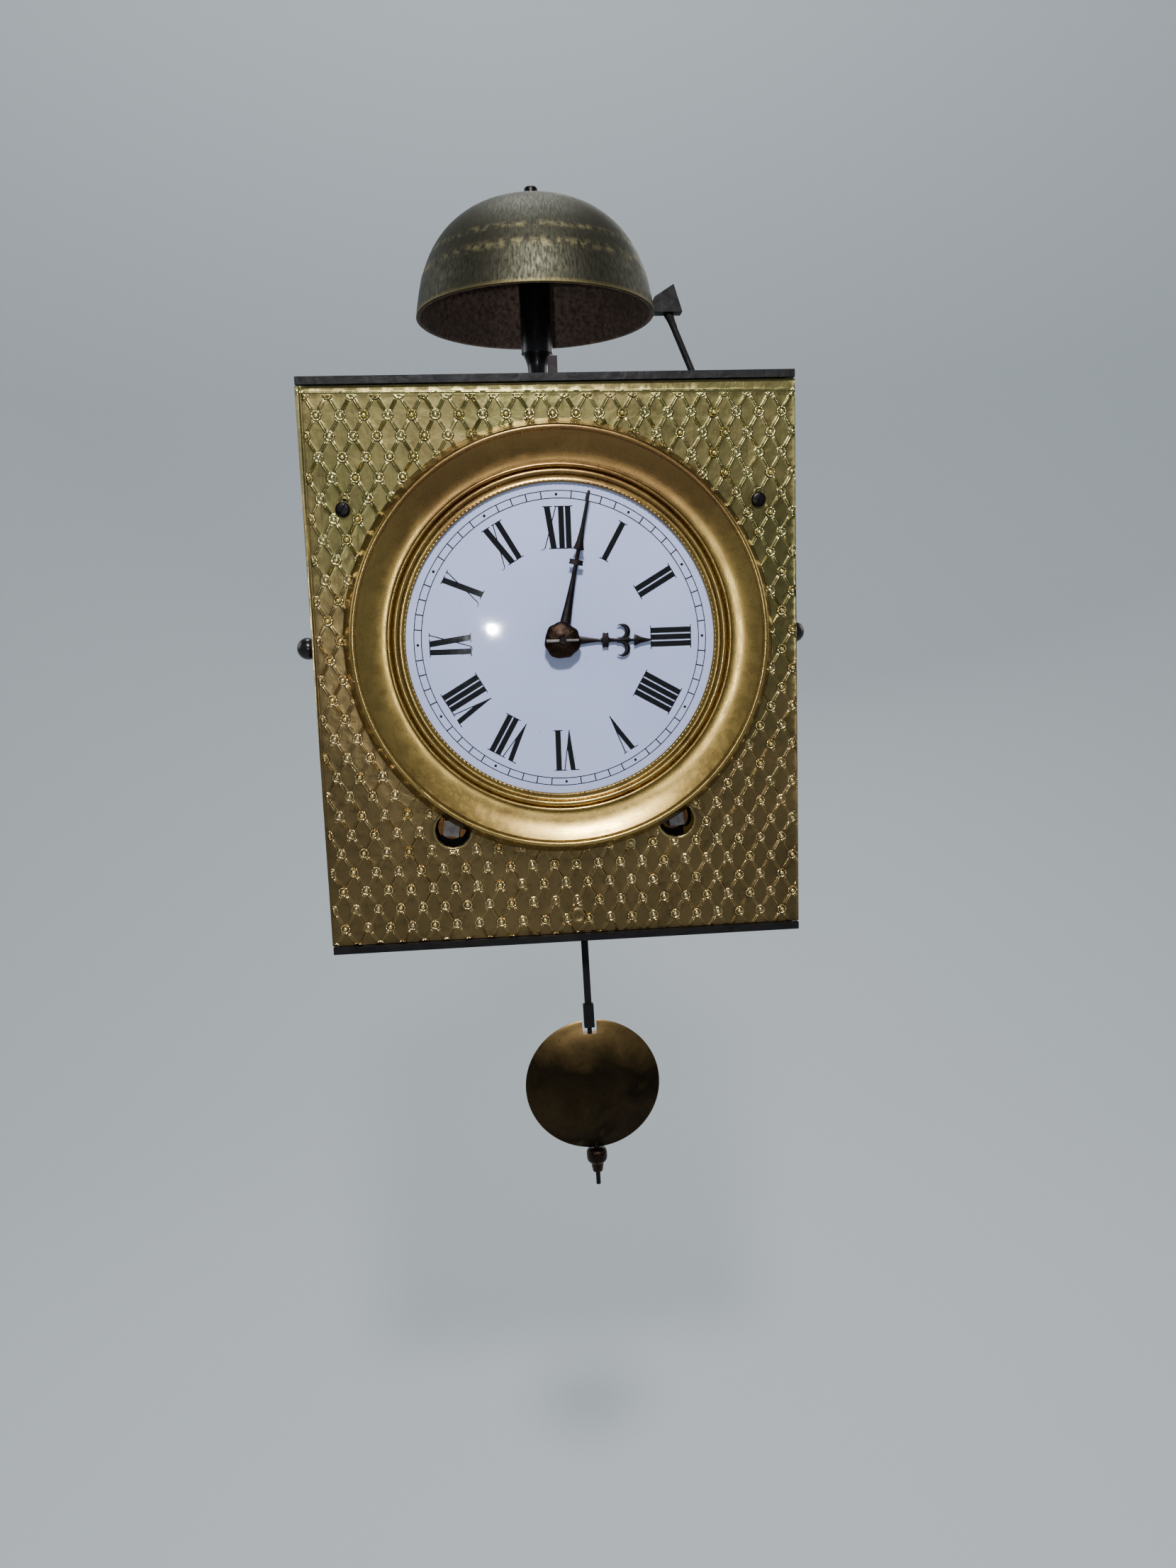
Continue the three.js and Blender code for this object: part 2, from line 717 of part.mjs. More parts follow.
// Embossed front sheet, its screws, dial and bezel
function front() {
  const half = sheetWidth / 2;
  const high = plateInnerZ - seatGap;
  const outline = outlineOf([[-half, -high], [half, -high], [half, high], [-half, high]]);
  const dialHole = new THREE.Path();
  dialHole.absarc(dialX, dialZ, sheetDialHoleRadius, 0, 2 * Math.PI, true);
  outline.holes.push(new THREE.Path(dialHole.getPoints(bezelRingCount)));
  for (const side of [-1, 1]) {
    roundHole(outline, windingHoleRadius, side * windingHoleX, windingHoleZ);
    roundHole(outline, screwShankRadius + runningGap, side * screwX, screwZ);
  }
  add("front_sheet", plateOf(outline, 0, sheetThickness), finish(0xa89044, 0.35, 1));
  for (const [side, sideName] of [[-1, "left"], [1, "right"]]) {
    const profile = [
      [0, -seatGap - screwHeadHeight], [screwHeadRadius, -seatGap - screwHeadHeight],
      [screwHeadRadius, -seatGap],
      [screwShankRadius, -seatGap], [screwShankRadius, screwShankLength], [0, screwShankLength],
    ];
    add("dial_screw_" + sideName, turned(profile, holeSides, side * screwX, screwZ), steel());
  }
  const dialBack = -seatGap;
  const dialFace = dialBack - dialEdgeThickness;
  const dial = [
    [dialHoleRadius, dialBack], [dialRadius, dialBack], [dialRadius, dialFace],
    [dialRadius * Math.SQRT1_2, dialFace - dialDome / 2], [dialHoleRadius, dialFace - dialDome],
    [dialHoleRadius, dialBack],
  ];
  add("enamel_dial", turned(dial, bezelRingCount, dialX, dialZ), finish(0xe4e8f0, 0.15, 0));
  const width = bezelFootRadius - bezelInnerRadius;
  const place = ([across, high]) => [bezelInnerRadius + across * width, -seatGap - high * bezelHeight];
  const ring = [...bezelFrontShares, ...bezelBackShares, bezelFrontShares[0]].map(place);
  add("bezel_ring", turned(ring, bezelRingCount, dialX, dialZ), brass());
}

// Bell with its stand and nut on the top plate
function bellGroup() {
  const crownZ = bellRimZ + bellHeight;
  const outer = bellShares.map(([across, high]) => [across * bellRimRadius, bellRimZ + high * bellHeight]);
  const inner = bellShares.map(([across, high]) => [
    across * (bellRimRadius - bellWall), bellRimZ + high * (bellHeight - bellWall),
  ]);
  const profile = [
    ...outer, [bellHoleRadius, crownZ], [bellHoleRadius, crownZ - bellWall], ...inner.reverse(), outer[0],
  ];
  add("bell", upright(profile, bellRingCount, bellX, bellY), bronze());
  const shoulder = crownZ - bellWall - seatGap;
  const stand = [
    [0, topPlateZ], [standFootRadius, topPlateZ], [standNeckRadius, topPlateZ + standNeckRadius],
    [standNeckRadius, standNeckZ],
    [standRadius, standShoulderZ], [standRadius, shoulder], [standThreadRadius, shoulder],
    [standThreadRadius, crownZ + bellNutHeight], [0, crownZ + bellNutHeight],
  ];
  add("bell_stand", upright(stand, 2 * arborSides, bellX, bellY), iron());
  const nutBottom = crownZ + seatGap;
  const bore = standThreadRadius + seatGap;
  const nut = [
    [bore, nutBottom], [bellNutRadius + seatGap, nutBottom], [bellNutRadius, nutBottom + bellNutHeight],
    [bore, nutBottom + bellNutHeight], [bore, nutBottom],
  ];
  add("bell_nut", upright(nut, holeSides, bellX, bellY), iron());
}

// Winding arbor, drum with ratchet, great wheel and click of one train
function barrel(name, x, squareTurn) {
  const square = block(
    -windingSquareSize / 2, windingSquareSize / 2, windingSquareEndDepth,
    windingSquareEndDepth + windingSquareLength,
    -windingSquareSize / 2, windingSquareSize / 2,
  ).rotateY((squareTurn * Math.PI) / 180).translate(x, 0, windingZ);
  const round = [
    [0, windingSquareEndDepth + windingSquareLength - overrun],
    [windingArborRadius, windingSquareEndDepth + windingSquareLength - overrun],
    [windingArborRadius, rearBarDepth - seatGap], [windingPivotRadius, rearBarDepth - seatGap],
    [windingPivotRadius, rearBarDepth + pivotReach], [0, rearBarDepth + pivotReach],
  ];
  add(name + "_winding_arbor", joined(square, turned(round, holeSides, x, windingZ)), steel());

  const bore = windingArborRadius + seatGap;
  const drumEnd = drumDepth + drumLength;
  const drum = [
    [bore, drumDepth], [drumFlangeRadius, drumDepth], [drumFlangeRadius, drumDepth + drumFlangeThickness],
    [drumRadius, drumDepth + drumFlangeThickness], [drumRadius, drumEnd - drumFlangeThickness],
    [drumFlangeRadius, drumEnd - drumFlangeThickness], [drumFlangeRadius, drumEnd], [bore, drumEnd],
    [bore, drumDepth],
  ];
  const ratchetPoints = [];
  for (let tooth = 0; tooth < ratchetTeeth; tooth += 1) {
    const angle = up - (2 * Math.PI * tooth) / ratchetTeeth;
    ratchetPoints.push(polar(ratchetTipRadius, angle));
    ratchetPoints.push(polar(ratchetRootRadius, angle));
  }
  const ratchet = outlineOf(ratchetPoints);
  roundHole(ratchet, bore);
  const ratchetPlate = plateOf(
    ratchet, ratchetDepth, ratchetThickness + drumFlangeThickness / 2,
  ).translate(x, 0, windingZ);
  add(name + "_barrel", joined(turned(drum, drumSides, x, windingZ), ratchetPlate), brass());

  const great = wheelOutline(greatTeeth, greatModule, up, Math.atan2(clickPivotZ, clickPivotX));
  roundHole(great, windingArborRadius + runningGap);
  roundHole(great, clickStudRadius + runningGap, clickPivotX, clickPivotZ);
  add(
    name + "_great_wheel", plateOf(great, greatWheelDepth, greatWheelThickness).translate(x, 0, windingZ),
    brass(),
  );

  const click = new THREE.Shape();
  click.moveTo(2 * runningGap, ratchetRootRadius + 2 * runningGap);
  click.lineTo(2 * runningGap, ratchetRootRadius + 2 * runningGap + clickTipLength);
  click.absarc(clickPivotX, clickPivotZ, clickEyeRadius, up + Math.PI / 8, down + Math.PI / 8, true);
  click.closePath();
  const stud = roundBar(
    clickStudRadius, greatWheelDepth, clickDepth + clickThickness / 2, clickPivotX, clickPivotZ,
  );
  const clickParts = joined(plateOf(click, clickDepth, clickThickness), stud);
  add(name + "_click", clickParts.translate(x, 0, windingZ), steel());
}

// Wheel, pinion and arbor riveted together
function arborWheel(name, x, z, wheel, leaves, arbor, extra = []) {
  const disc = plateOf(
    wheelOutline(wheel.teeth, wheel.module, wheel.angle), wheel.depth, wheelThickness,
  ).translate(x, 0, z);
  const leafPiece = pinion(leaves.count, leaves.module, leaves.angle, leaves.depth, leafLength, x, z);
  const hub = roundBar(
    2 * arborRadius, wheel.depth - wheelThickness / 2, wheel.depth + 2 * wheelThickness, x, z, holeSides,
  );
  add(
    name, joined(disc, leafPiece, hub, roundBar(arbor.radius, arbor.from, arbor.to, x, z), ...extra),
    brass(),
  );
}

const pivotFrom = frontBarDepth + barThickness - pivotReach;
const pivotTo = rearBarDepth + pivotReach;

function goingTrain() {
  const x = -trainX;
  const thin = { radius: pivotRadius, from: pivotFrom, to: pivotTo };
  arborWheel(
    "centre_wheel", x, centreZ,
    { teeth: centreTeeth, module: centreModule, angle: up, depth: centreWheelDepth },
    {
      count: leafCount, module: greatModule, angle: gapAt(down, leafCount),
      depth: greatWheelDepth - seatGap,
    },
    thin,
    [roundBar(arborRadius, driveWheelDepth - seatGap, frontBarDepth + barThickness + overrun, x, centreZ)],
  );
  arborWheel(
    "third_wheel", x, thirdZ,
    { teeth: thirdTeeth, module: thirdModule, angle: up, depth: thirdWheelDepth },
    {
      count: leafCount, module: centreModule, angle: gapAt(down, leafCount),
      depth: centreWheelDepth - seatGap,
    },
    thin,
  );
  const points = [];
  const step = (2 * Math.PI) / escapeTeeth;
  for (let tooth = 0; tooth < escapeTeeth; tooth += 1) {
    const angle = up / 2 + (tooth + escapePhaseShare) * step;
    points.push(polar(escapeRootRadius, angle - escapeLeanShare * step));
    points.push(polar(escapeRadius, angle));
    points.push(polar(escapeRadius, angle + escapeTipShare * step));
    points.push(polar(escapeRootRadius, angle + (escapeToothShare - escapeLeanShare) * step));
  }
  const outline = outlineOf(points);
  windowsBetweenSpokes(outline, escapeRootRadius, up);
  const disc = plateOf(outline, escapeDepth, wheelThickness).translate(x, 0, escapeZ);
  const leafPiece = pinion(
    leafCount, thirdModule, gapAt(down, leafCount), thirdWheelDepth - seatGap, leafLength, x, escapeZ,
  );
  const hub = roundBar(
    2 * arborRadius, escapeDepth - wheelThickness / 2, escapeDepth + 2 * wheelThickness, x, escapeZ,
    holeSides,
  );
  add(
    "escape_wheel", joined(disc, leafPiece, hub, roundBar(pivotRadius, pivotFrom, pivotTo, x, escapeZ)),
    brass(),
  );
}

function strikeTrain() {
  const x = trainX;
  const thin = { radius: pivotRadius, from: pivotFrom, to: pivotTo };
  const pins = [];
  for (let pin = 0; pin < liftingPins; pin += 1) {
    const [dx, dz] = polar(liftingPinCircle, (2 * Math.PI * (pin + 1 / 2)) / liftingPins);
    const from = centreWheelDepth + wheelThickness / 2;
    const to = centreWheelDepth + wheelThickness + liftingPinLength;
    pins.push(roundBar(liftingPinRadius, from, to, x + dx, centreZ + dz, arborSides));
  }
  arborWheel(
    "pin_wheel", x, centreZ,
    { teeth: pinWheelTeeth, module: pinWheelModule, angle: up, depth: centreWheelDepth },
    {
      count: leafCount, module: greatModule, angle: gapAt(down, leafCount),
      depth: greatWheelDepth - seatGap,
    },
    thin, pins,
  );
  const shortLeaf = centreWheelDepth - leafLength + wheelThickness + seatGap;
  arborWheel(
    "locking_wheel", x, thirdZ,
    { teeth: lockingTeeth, module: lockingModule, angle: up, depth: thirdWheelDepth },
    { count: leafCount, module: pinWheelModule, angle: gapAt(down, leafCount), depth: shortLeaf },
    thin,
  );
  const blade = block(
    x - flySpan / 2, x + flySpan / 2, flyDepth, flyDepth + flyLength, escapeZ - flyThickness / 2,
    escapeZ + flyThickness / 2,
  );
  const leafPiece = pinion(
    leafCount, lockingModule, gapAt(down, leafCount), thirdWheelDepth - seatGap, leafLength, x, escapeZ,
  );
  add("fly", joined(blade, leafPiece, roundBar(pivotRadius, pivotFrom, pivotTo, x, escapeZ)), brass());
}

// Transfer wheel, minute arbor, reverse wheel and hour wheel behind the dial
function motionWork() {
  const transfer = wheelOutline(driveTeeth, driveModule, driveDirection);
  roundHole(transfer, arborRadius + runningGap);
  add(
    "transfer_wheel", plateOf(transfer, driveWheelDepth, wheelThickness).translate(-trainX, 0, centreZ),
    brass(),
  );

  const driven = wheelOutline(driveTeeth, driveModule, gapAt(driveDirection + Math.PI, driveTeeth));
  const drivenPlate = plateOf(driven, driveWheelDepth, wheelThickness).translate(dialX, 0, dialZ);
  const cannonDepth = hourWheelDepth + hourWheelThickness + visibleGap;
  const cannonLength = driveWheelDepth + wheelThickness / 2 - cannonDepth;
  const cannon = pinion(
    cannonLeaves, cannonModule, gapAt(down, cannonLeaves), cannonDepth, cannonLength, dialX, dialZ,
  );
  const arbor = [
    [0, minuteArborEndDepth], [minuteArborEndRadius, minuteArborEndDepth],
    [minuteArborEndRadius, minuteHandDepth - seatGap], [minuteArborRadius, minuteHandDepth - seatGap],
    [minuteArborRadius, frontBarDepth - seatGap], [pivotRadius, frontBarDepth - seatGap],
    [pivotRadius, frontBarDepth + pivotReach], [0, frontBarDepth + pivotReach],
  ];
  const pinHole = new THREE.CylinderGeometry(
    pinRadius + seatGap, pinRadius + seatGap, pinLength, arborSides,
  );
  pinHole.rotateZ(Math.PI / 2).translate(dialX, pinDepth(), dialZ);
  const minuteParts = joined(turned(arbor, holeSides, dialX, dialZ), drivenPlate, cannon);
  add("minute_arbor", cut(minuteParts, pinHole), steel());

  const reverseOutline = wheelOutline(reverseTeeth, cannonModule, up);
  const reversePlate = plateOf(
    reverseOutline, reverseWheelDepth, wheelThickness,
  ).translate(dialX, 0, reverseZ);
  const reverseLeafLength = reverseWheelDepth + wheelThickness / 2 - (hourWheelDepth - seatGap);
  const reverseLeaves = pinion(
    leafCount, hourModule, gapAt(up, leafCount), hourWheelDepth - seatGap, reverseLeafLength, dialX,
    reverseZ,
  );
  const reverseArbor = roundBar(
    pivotRadius, hourWheelDepth - visibleGap, frontBarDepth + pivotReach, dialX, reverseZ,
  );
  const reverseHubEnd = reverseWheelDepth + (wheelThickness * 3) / 2;
  const reverseHub = roundBar(2 * arborRadius, reverseWheelDepth, reverseHubEnd, dialX, reverseZ);
  add("reverse_wheel", joined(reversePlate, reverseLeaves, reverseArbor, reverseHub), brass());

  const hourPlate = plateOf(wheelOutline(hourTeeth, hourModule, down), hourWheelDepth, hourWheelThickness);
  const pipe = [
    [0, hourPipeFront], [hourPipeRadius, hourPipeFront],
    [hourPipeRadius, hourWheelDepth + hourWheelThickness / 2],
    [0, hourWheelDepth + hourWheelThickness / 2],
  ];
  const snailPoints = [];
  for (let hour = 0; hour < hoursOnDial; hour += 1) {
    // The step of the shown hour lies under the finger, and later hours follow as the wheel turns clockwise
    const steps = (hour + 2) % hoursOnDial;
    const start = up + ((hour - snailLeadShare) * 2 * Math.PI) / hoursOnDial;
    const end = start + (2 * Math.PI) / hoursOnDial;
    snailPoints.push(polar(snailRadius - steps * snailStep, start));
    snailPoints.push(polar(snailRadius - steps * snailStep, end));
  }
  const snail = plateOf(
    outlineOf(snailPoints), hourWheelDepth - snailThickness, snailThickness + hourWheelThickness / 2,
  );
  const bore = roundBar(
    hourPipeBore, hourPipeFront - overrun, hourWheelDepth + 2 * overrun, 0, 0, holeSides,
  );
  const hourWheel = cut(joined(hourPlate, turned(pipe, holeSides, 0, 0), snail), bore);
  add("hour_wheel", hourWheel.translate(dialX, 0, dialZ), brass());
}

function pinDepth() {
  return minuteHandDepth - seatGap - bossHeight - pinRadius - seatGap;
}

// Hand outline pointing up, mirrored about its middle line, with a round hub and bore
function handOutline(rightSide, hubRadius, bore) {
  const shape = new THREE.Shape();
  const [firstWidth, firstZ] = rightSide[0];
  const start = Math.atan2(firstZ, firstWidth);
  shape.moveTo(firstWidth, firstZ);
  for (const [x, z] of rightSide.slice(1)) shape.lineTo(x, z);
  for (const [x, z] of [...rightSide].reverse()) shape.lineTo(-x, z);
  shape.absarc(0, 0, hubRadius, Math.PI - start, 2 * Math.PI + start, false);
  roundHole(shape, bore);
  return shape;
}

function hands() {
  const hubEdge = (hub, width) => Math.sqrt(hub * hub - (width * width) / 4);
  const minute = handOutline(
    [
      [minuteArmWidth / 2, hubEdge(minuteHubRadius, minuteArmWidth)], [minuteArmTipWidth / 2, minuteArmEnd],
      [minuteArmTipWidth / 2, minuteCrossStart], [minuteCrossWidth / 2, minuteCrossStart],
      [minuteCrossWidth / 2, minuteCrossEnd], [minuteArmTipWidth / 2, minuteCrossEnd],
      [minuteArmTipWidth / 2, minuteFlareStart - visibleGap], [minuteFlareWidth / 2, minuteFlareStart],
      [minuteTipWidth / 2, minuteHandLength],
    ],
    minuteHubRadius, minuteArborRadius + seatGap,
  );
  const minutePlate = plateOf(
    minute, minuteHandDepth, handThickness,
  ).rotateY((minuteAngle * Math.PI) / 180);
  add("minute_hand", minutePlate.translate(dialX, 0, dialZ), iron());

  const hour = handOutline(
    [
      [hourArmWidth / 2, hubEdge(hourHubRadius, hourArmWidth)], [hourArmTipWidth / 2, hourCrossStart],
      [hourCrossWidth / 2, hourCrossStart], [hourCrossWidth / 2, hourCrossEnd],
      [hourArmTipWidth / 2, hourCrossEnd],
      [hourArmTipWidth / 2, hourArrowStart], [hourArrowWidth / 2, hourArrowStart],
      [hourTipWidth / 2, hourHandLength],
    ],
    hourHubRadius, hourPipeRadius + seatGap,
  );
  const parts = [plateOf(hour, hourHandDepth, handThickness)];
  for (const side of [-1, 1]) {
    const x = side * moonSpread;
    const disc = roundBar(
      moonRadius, hourHandDepth, hourHandDepth + handThickness, x, moonCentre, 2 * holeSides,
    );
    const hollow = roundBar(
      moonHollowRadius, hourHandDepth - overrun, hourHandDepth + overrun, x, moonCentre - moonHollowShift,
      2 * holeSides,
    );
    parts.push(cut(disc, hollow));
  }
  const hourPlate = joined(...parts).rotateY((hourAngle * Math.PI) / 180);
  add("hour_hand", hourPlate.translate(dialX, 0, dialZ), iron());

  const bossBack = minuteHandDepth - seatGap;
  const bore = minuteArborEndRadius + seatGap;
  const boss = [
    [bore, bossBack], [bossRadius, bossBack], [bossRadius, bossBack - bossEdgeHeight],
    [bossTopRadius, bossBack - bossHeight],
    [bore, bossBack - bossHeight], [bore, bossBack],
  ];
  add("hand_boss", turned(boss, 2 * arborSides, dialX, dialZ), bronze());
  const pin = new THREE.CylinderGeometry(
    pinRadius, pinRadius * Math.SQRT1_2, pinLength, arborSides,
  ).rotateZ(Math.PI / 2);
  add("taper_pin", pin.translate(dialX, pinDepth(), dialZ), steel());
}

// Hammer head, and the arm with stem, arbor and tail
function hammer() {
  const nose = hammerNoseX;
  const right = nose + hammerHeadLength;
  const bottom = hammerHeadBottomZ;
  const head = outlineOf([
    [nose, bottom], [right, bottom], [right - hammerPeakInset, bottom + hammerHeadHeight],
    [nose, bottom + hammerNoseHeight],
  ]);
  add("hammer_head", plateOf(head, hammerPlaneY - hammerHeadThickness / 2, hammerHeadThickness), iron());
  const stemTop = bottom - seatGap;
  const bars = [
    slantedBar(
      hammerStemRadius, hammerStemTopX, stemTop - hammerStemRadius, hammerStemPlateX, plateInnerZ,
      hammerPlaneY,
    ),
    slantedBar(
      hammerStemRadius, hammerStemPlateX, plateInnerZ, hammerStemBendX, hammerStemBendZ, hammerPlaneY,
    ),
    slantedBar(
      hammerStemRadius, hammerStemBendX, hammerStemBendZ, hammerArborX, hammerArborZ, hammerPlaneY,
    ),
    roundBar(
      hammerStemRadius * Math.SQRT2, hammerPlaneY - hammerStemRadius, hammerPlaneY + hammerStemRadius,
      hammerStemBendX, hammerStemBendZ,
    ),
    roundBar(pivotRadius, pivotFrom, pivotTo, hammerArborX, hammerArborZ),
    roundBar(
      2 * arborRadius, hammerPlaneY - arborRadius, hammerPlaneY + arborRadius, hammerArborX, hammerArborZ,
      holeSides,
    ),
  ];
  const half = hammerTailWidth / 2;
  const tail = outlineOf([
    [hammerArborX, hammerArborZ + half], [hammerArborX - half, hammerArborZ],
    [hammerTailX - half, hammerTailBendZ],
    [hammerTailX - half, hammerTailEndZ + hammerTailWidth],
    [hammerTailFootX, hammerTailEndZ + hammerTailWidth],
    [hammerTailFootX, hammerTailEndZ], [hammerTailX + half, hammerTailEndZ],
    [hammerTailX + half, hammerTailBendZ + half],
  ]);
  add("hammer_arm", joined(...bars, plateOf(tail, hammerTailDepth, hammerTailThickness)), iron());
}

// Toothed rack in front of the right bar, with an arm and a finger above the snail
function strikeRack() {
  const left = rackX - rackWidth / 2;
  const right = rackX + rackWidth / 2;
  const y = frontBarDepth - seatGap - rackThickness;
  const points = [[left, rackTopZ], [left, rackBottomZ], [right, rackBottomZ]];
  for (let tooth = 0; tooth < hoursOnDial; tooth += 1) {
    const z = rackTeethZ + tooth * snailStep;
    points.push([right, z]);
    points.push([right - rackToothDepth, z + snailStep / 4]);
  }
  points.push([right, rackTopZ]);
  const bar = plateOf(outlineOf(points), y, rackThickness);
  const fingerBottom = dialZ + snailRadius + snailStep;
  const arm = block(
    dialX - rackFingerWidth / 2, left + rackWidth / 2, y, y + rackThickness, rackBottomZ,
    rackBottomZ + rackArmHeight,
  );
  const fingerY = hourWheelDepth - snailThickness;
  const reach = block(
    dialX - rackFingerWidth / 2, dialX + rackFingerWidth / 2, fingerY, y + rackThickness, rackBottomZ,
    rackBottomZ + rackArmHeight,
  );
  const finger = block(
    dialX - rackFingerWidth / 2, dialX + rackFingerWidth / 2, fingerY, fingerY + snailThickness - seatGap,
    fingerBottom, rackBottomZ + rackArmHeight,
  );
  add("strike_rack", joined(bar, arm, reach, finger), steel());
}

// Everything that swings with the pendulum or with the anchor is built plumb and then turned by the rest tilt
function tilted(x) {
  const pivot = new THREE.Group();
  pivot.position.set(x, 0, anchorZ);
  pivot.rotation.y = (-pendulumRestTilt * Math.PI) / 180;
  clock.add(pivot);
  return pivot;
}

function pendulum() {
  const half = postSize / 2;
  const post = block(
    pendulumX - half, pendulumX + half, pendulumY - half, pendulumY + half, postBottomZ, postTopZ,
  );
  const slit = springThickness / 2 + seatGap;
  const slitBox = block(
    pendulumX - slit, pendulumX + slit, pendulumY - postSize, pendulumY + postSize, postBottomZ - overrun,
    springTopZ + seatGap,
  );
  add("suspension_post", cut(post, slitBox), iron());
  const spring = block(
    pendulumX - springThickness / 2, pendulumX + springThickness / 2, pendulumY - springWidth / 2,
    pendulumY + springWidth / 2, anchorZ + visibleGap, springTopZ,
  );
  add("suspension_spring", spring, steel());

  const group = tilted(pendulumX);
  const z = (height) => height - anchorZ;
  const y0 = pendulumY - rodThickness / 2;
  const chops = block(
    -chopWidth / 2, chopWidth / 2, pendulumY - chopThickness / 2, pendulumY + chopThickness / 2,
    -chopHeight, 0,
  );
  const strip = block(-rodWidth / 2, rodWidth / 2, y0, y0 + rodThickness, z(rodEndZ), -chopHeight / 2);
  const eye = roundBar(rodEyeRadius, y0, y0 + rodThickness, 0, z(dialZ), 2 * holeSides);
  const eyeBore = roundBar(
    rodEyeBore, y0 - overrun, y0 + overrun + rodThickness, 0, z(dialZ), 2 * holeSides,
  );
  const cross = block(
    -crossWidth / 2, crossWidth / 2, y0, y0 + rodThickness, z(rodEndZ), z(rodEndZ) + crossHeight,
  );
  add("pendulum_rod", cut(joined(chops, strip, eye, cross), eyeBore), iron(), group);

  const lowerTop = z(rodEndZ) - seatGap;
  const lower = block(
    -lowerRodWidth / 2, lowerRodWidth / 2, y0, y0 + rodThickness, z(hookTopZ) - seatGap, lowerTop,
  );
  const hook = block(
    -hookWidth / 2, hookWidth / 2, pendulumY - hookThickness / 2, pendulumY + hookThickness / 2,
    z(hookTopZ) - hookHeight, z(hookTopZ),
  );
  const thread = upright(
    [
      [0, z(threadEndZ)], [threadRadius, z(threadEndZ)], [threadRadius, z(hookTopZ) - hookHeight / 2],
      [0, z(hookTopZ) - hookHeight / 2],
    ],
    arborSides, 0, pendulumY,
  );
  add("pendulum_lower_rod", joined(lower, hook, thread), iron(), group);

  const halfBob = (share) => (bobEdgeThickness + share * (bobThickness - bobEdgeThickness)) / 2;
  const frontFace = bobShares.map(([across, high]) => [across * bobRadius, pendulumY - halfBob(high)]);
  const rearFace = bobShares.map(([across, high]) => [across * bobRadius, pendulumY + halfBob(high)]);
  const rim = [[bobRadius, pendulumY - halfBob(0)], [bobRadius, pendulumY + halfBob(0)]];
  const lens = turned([...frontFace, ...rim, ...rearFace.reverse()], bobRingCount, 0, z(bobZ));
  const channel = block(
    -bobChannelWidth / 2, bobChannelWidth / 2, pendulumY - bobChannelWidth / 2,
    pendulumY + bobChannelWidth / 2,
    z(bobZ) - bobRadius - overrun, z(bobZ) + bobRadius + overrun,
  );
  const notch = block(
    -bobNotchWidth / 2, bobNotchWidth / 2, pendulumY - bobThickness, pendulumY + bobThickness,
    z(bobZ) + bobRadius - bobNotchDepth, z(bobZ) + bobRadius + overrun,
  );
  add("pendulum_bob", cut(lens, channel, notch), finish(0x8a6a33, 0.4, 1), group);

  const bore = threadRadius + seatGap;
  const nutTop = z(bobZ) - bobRadius - seatGap;
  const nut = [
    [bore, nutTop], [nutRadius / 2, nutTop], [nutRadius, nutTop - nutHeight / 3],
    [nutRadius, nutTop - (2 * nutHeight) / 3],
    [collarTopRadius, nutTop - nutHeight], [collarRadius, nutTop - nutHeight - collarHeight],
    [bore, nutTop - nutHeight - collarHeight], [bore, nutTop],
  ];
  add("rating_nut", upright(nut, 2 * arborSides, 0, pendulumY), brass(), group);
}

// Anchor with its arbor, and the crutch that reaches across to the pendulum rod
function anchorAndCrutch() {
  const group = tilted(-trainX);
  const pallet = escapeRadius + palletClearance;
  const y0 = escapeDepth + wheelThickness / 2 - palletThickness / 2;
  const arms = [];
  for (const side of [-1, 1]) {
    const arm = outlineOf([
      [side * anchorHubRadius, 0],
      [side * (pallet * Math.SQRT1_2 + anchorWidth), -pallet * Math.SQRT1_2 + anchorWidth / 2],
      [
        side * (pallet * Math.SQRT1_2 + palletWidth),
        -escapeRadius * Math.SQRT1_2 + palletClearance * Math.SQRT1_2,
      ],
      [
        side * pallet * Math.SQRT1_2,
        -escapeRadius * Math.SQRT1_2 + palletClearance * Math.SQRT1_2 + palletWidth,
      ],
      [0, -anchorHubRadius],
    ]);
    arms.push(plateOf(arm, y0, palletThickness));
  }
  const hub = roundBar(anchorHubRadius, y0, y0 + palletThickness, 0, 0, holeSides);
  const arbor = [
    [0, crutchDepth - seatGap], [arborRadius, crutchDepth - seatGap], [arborRadius, rearBarDepth - seatGap],
    [pivotRadius, rearBarDepth - seatGap], [pivotRadius, pivotTo], [0, pivotTo],
  ];
  add("anchor", joined(...arms, hub, turned(arbor, arborSides, 0, 0)), steel(), group);

  const half = crutchWidth / 2;
  const reach = pendulumX + trainX;
  const prong = rodWidth / 2 + runningGap + forkPinRadius;
  const outline = outlineOf([
    [-crutchWidth, crutchWidth], [-crutchWidth, -half], [-half, -crutchWidth], [-half, -crutchDrop - half],
    [reach + prong + forkPinRadius, -crutchDrop - half],
    [reach + prong + forkPinRadius, -crutchDrop + half],
    [half, -crutchDrop + half], [half, -crutchWidth], [crutchWidth, -half], [crutchWidth, crutchWidth],
  ]);
  roundHole(outline, arborRadius + seatGap);
  const pins = [-1, 1].map((side) =>
    roundBar(
      forkPinRadius, crutchDepth - forkPinReach, crutchDepth + crutchThickness / 2, reach + side * prong,
      -crutchDrop,
    ),
  );
  add("crutch", joined(plateOf(outline, crutchDepth, crutchThickness), ...pins), steel(), group);
}

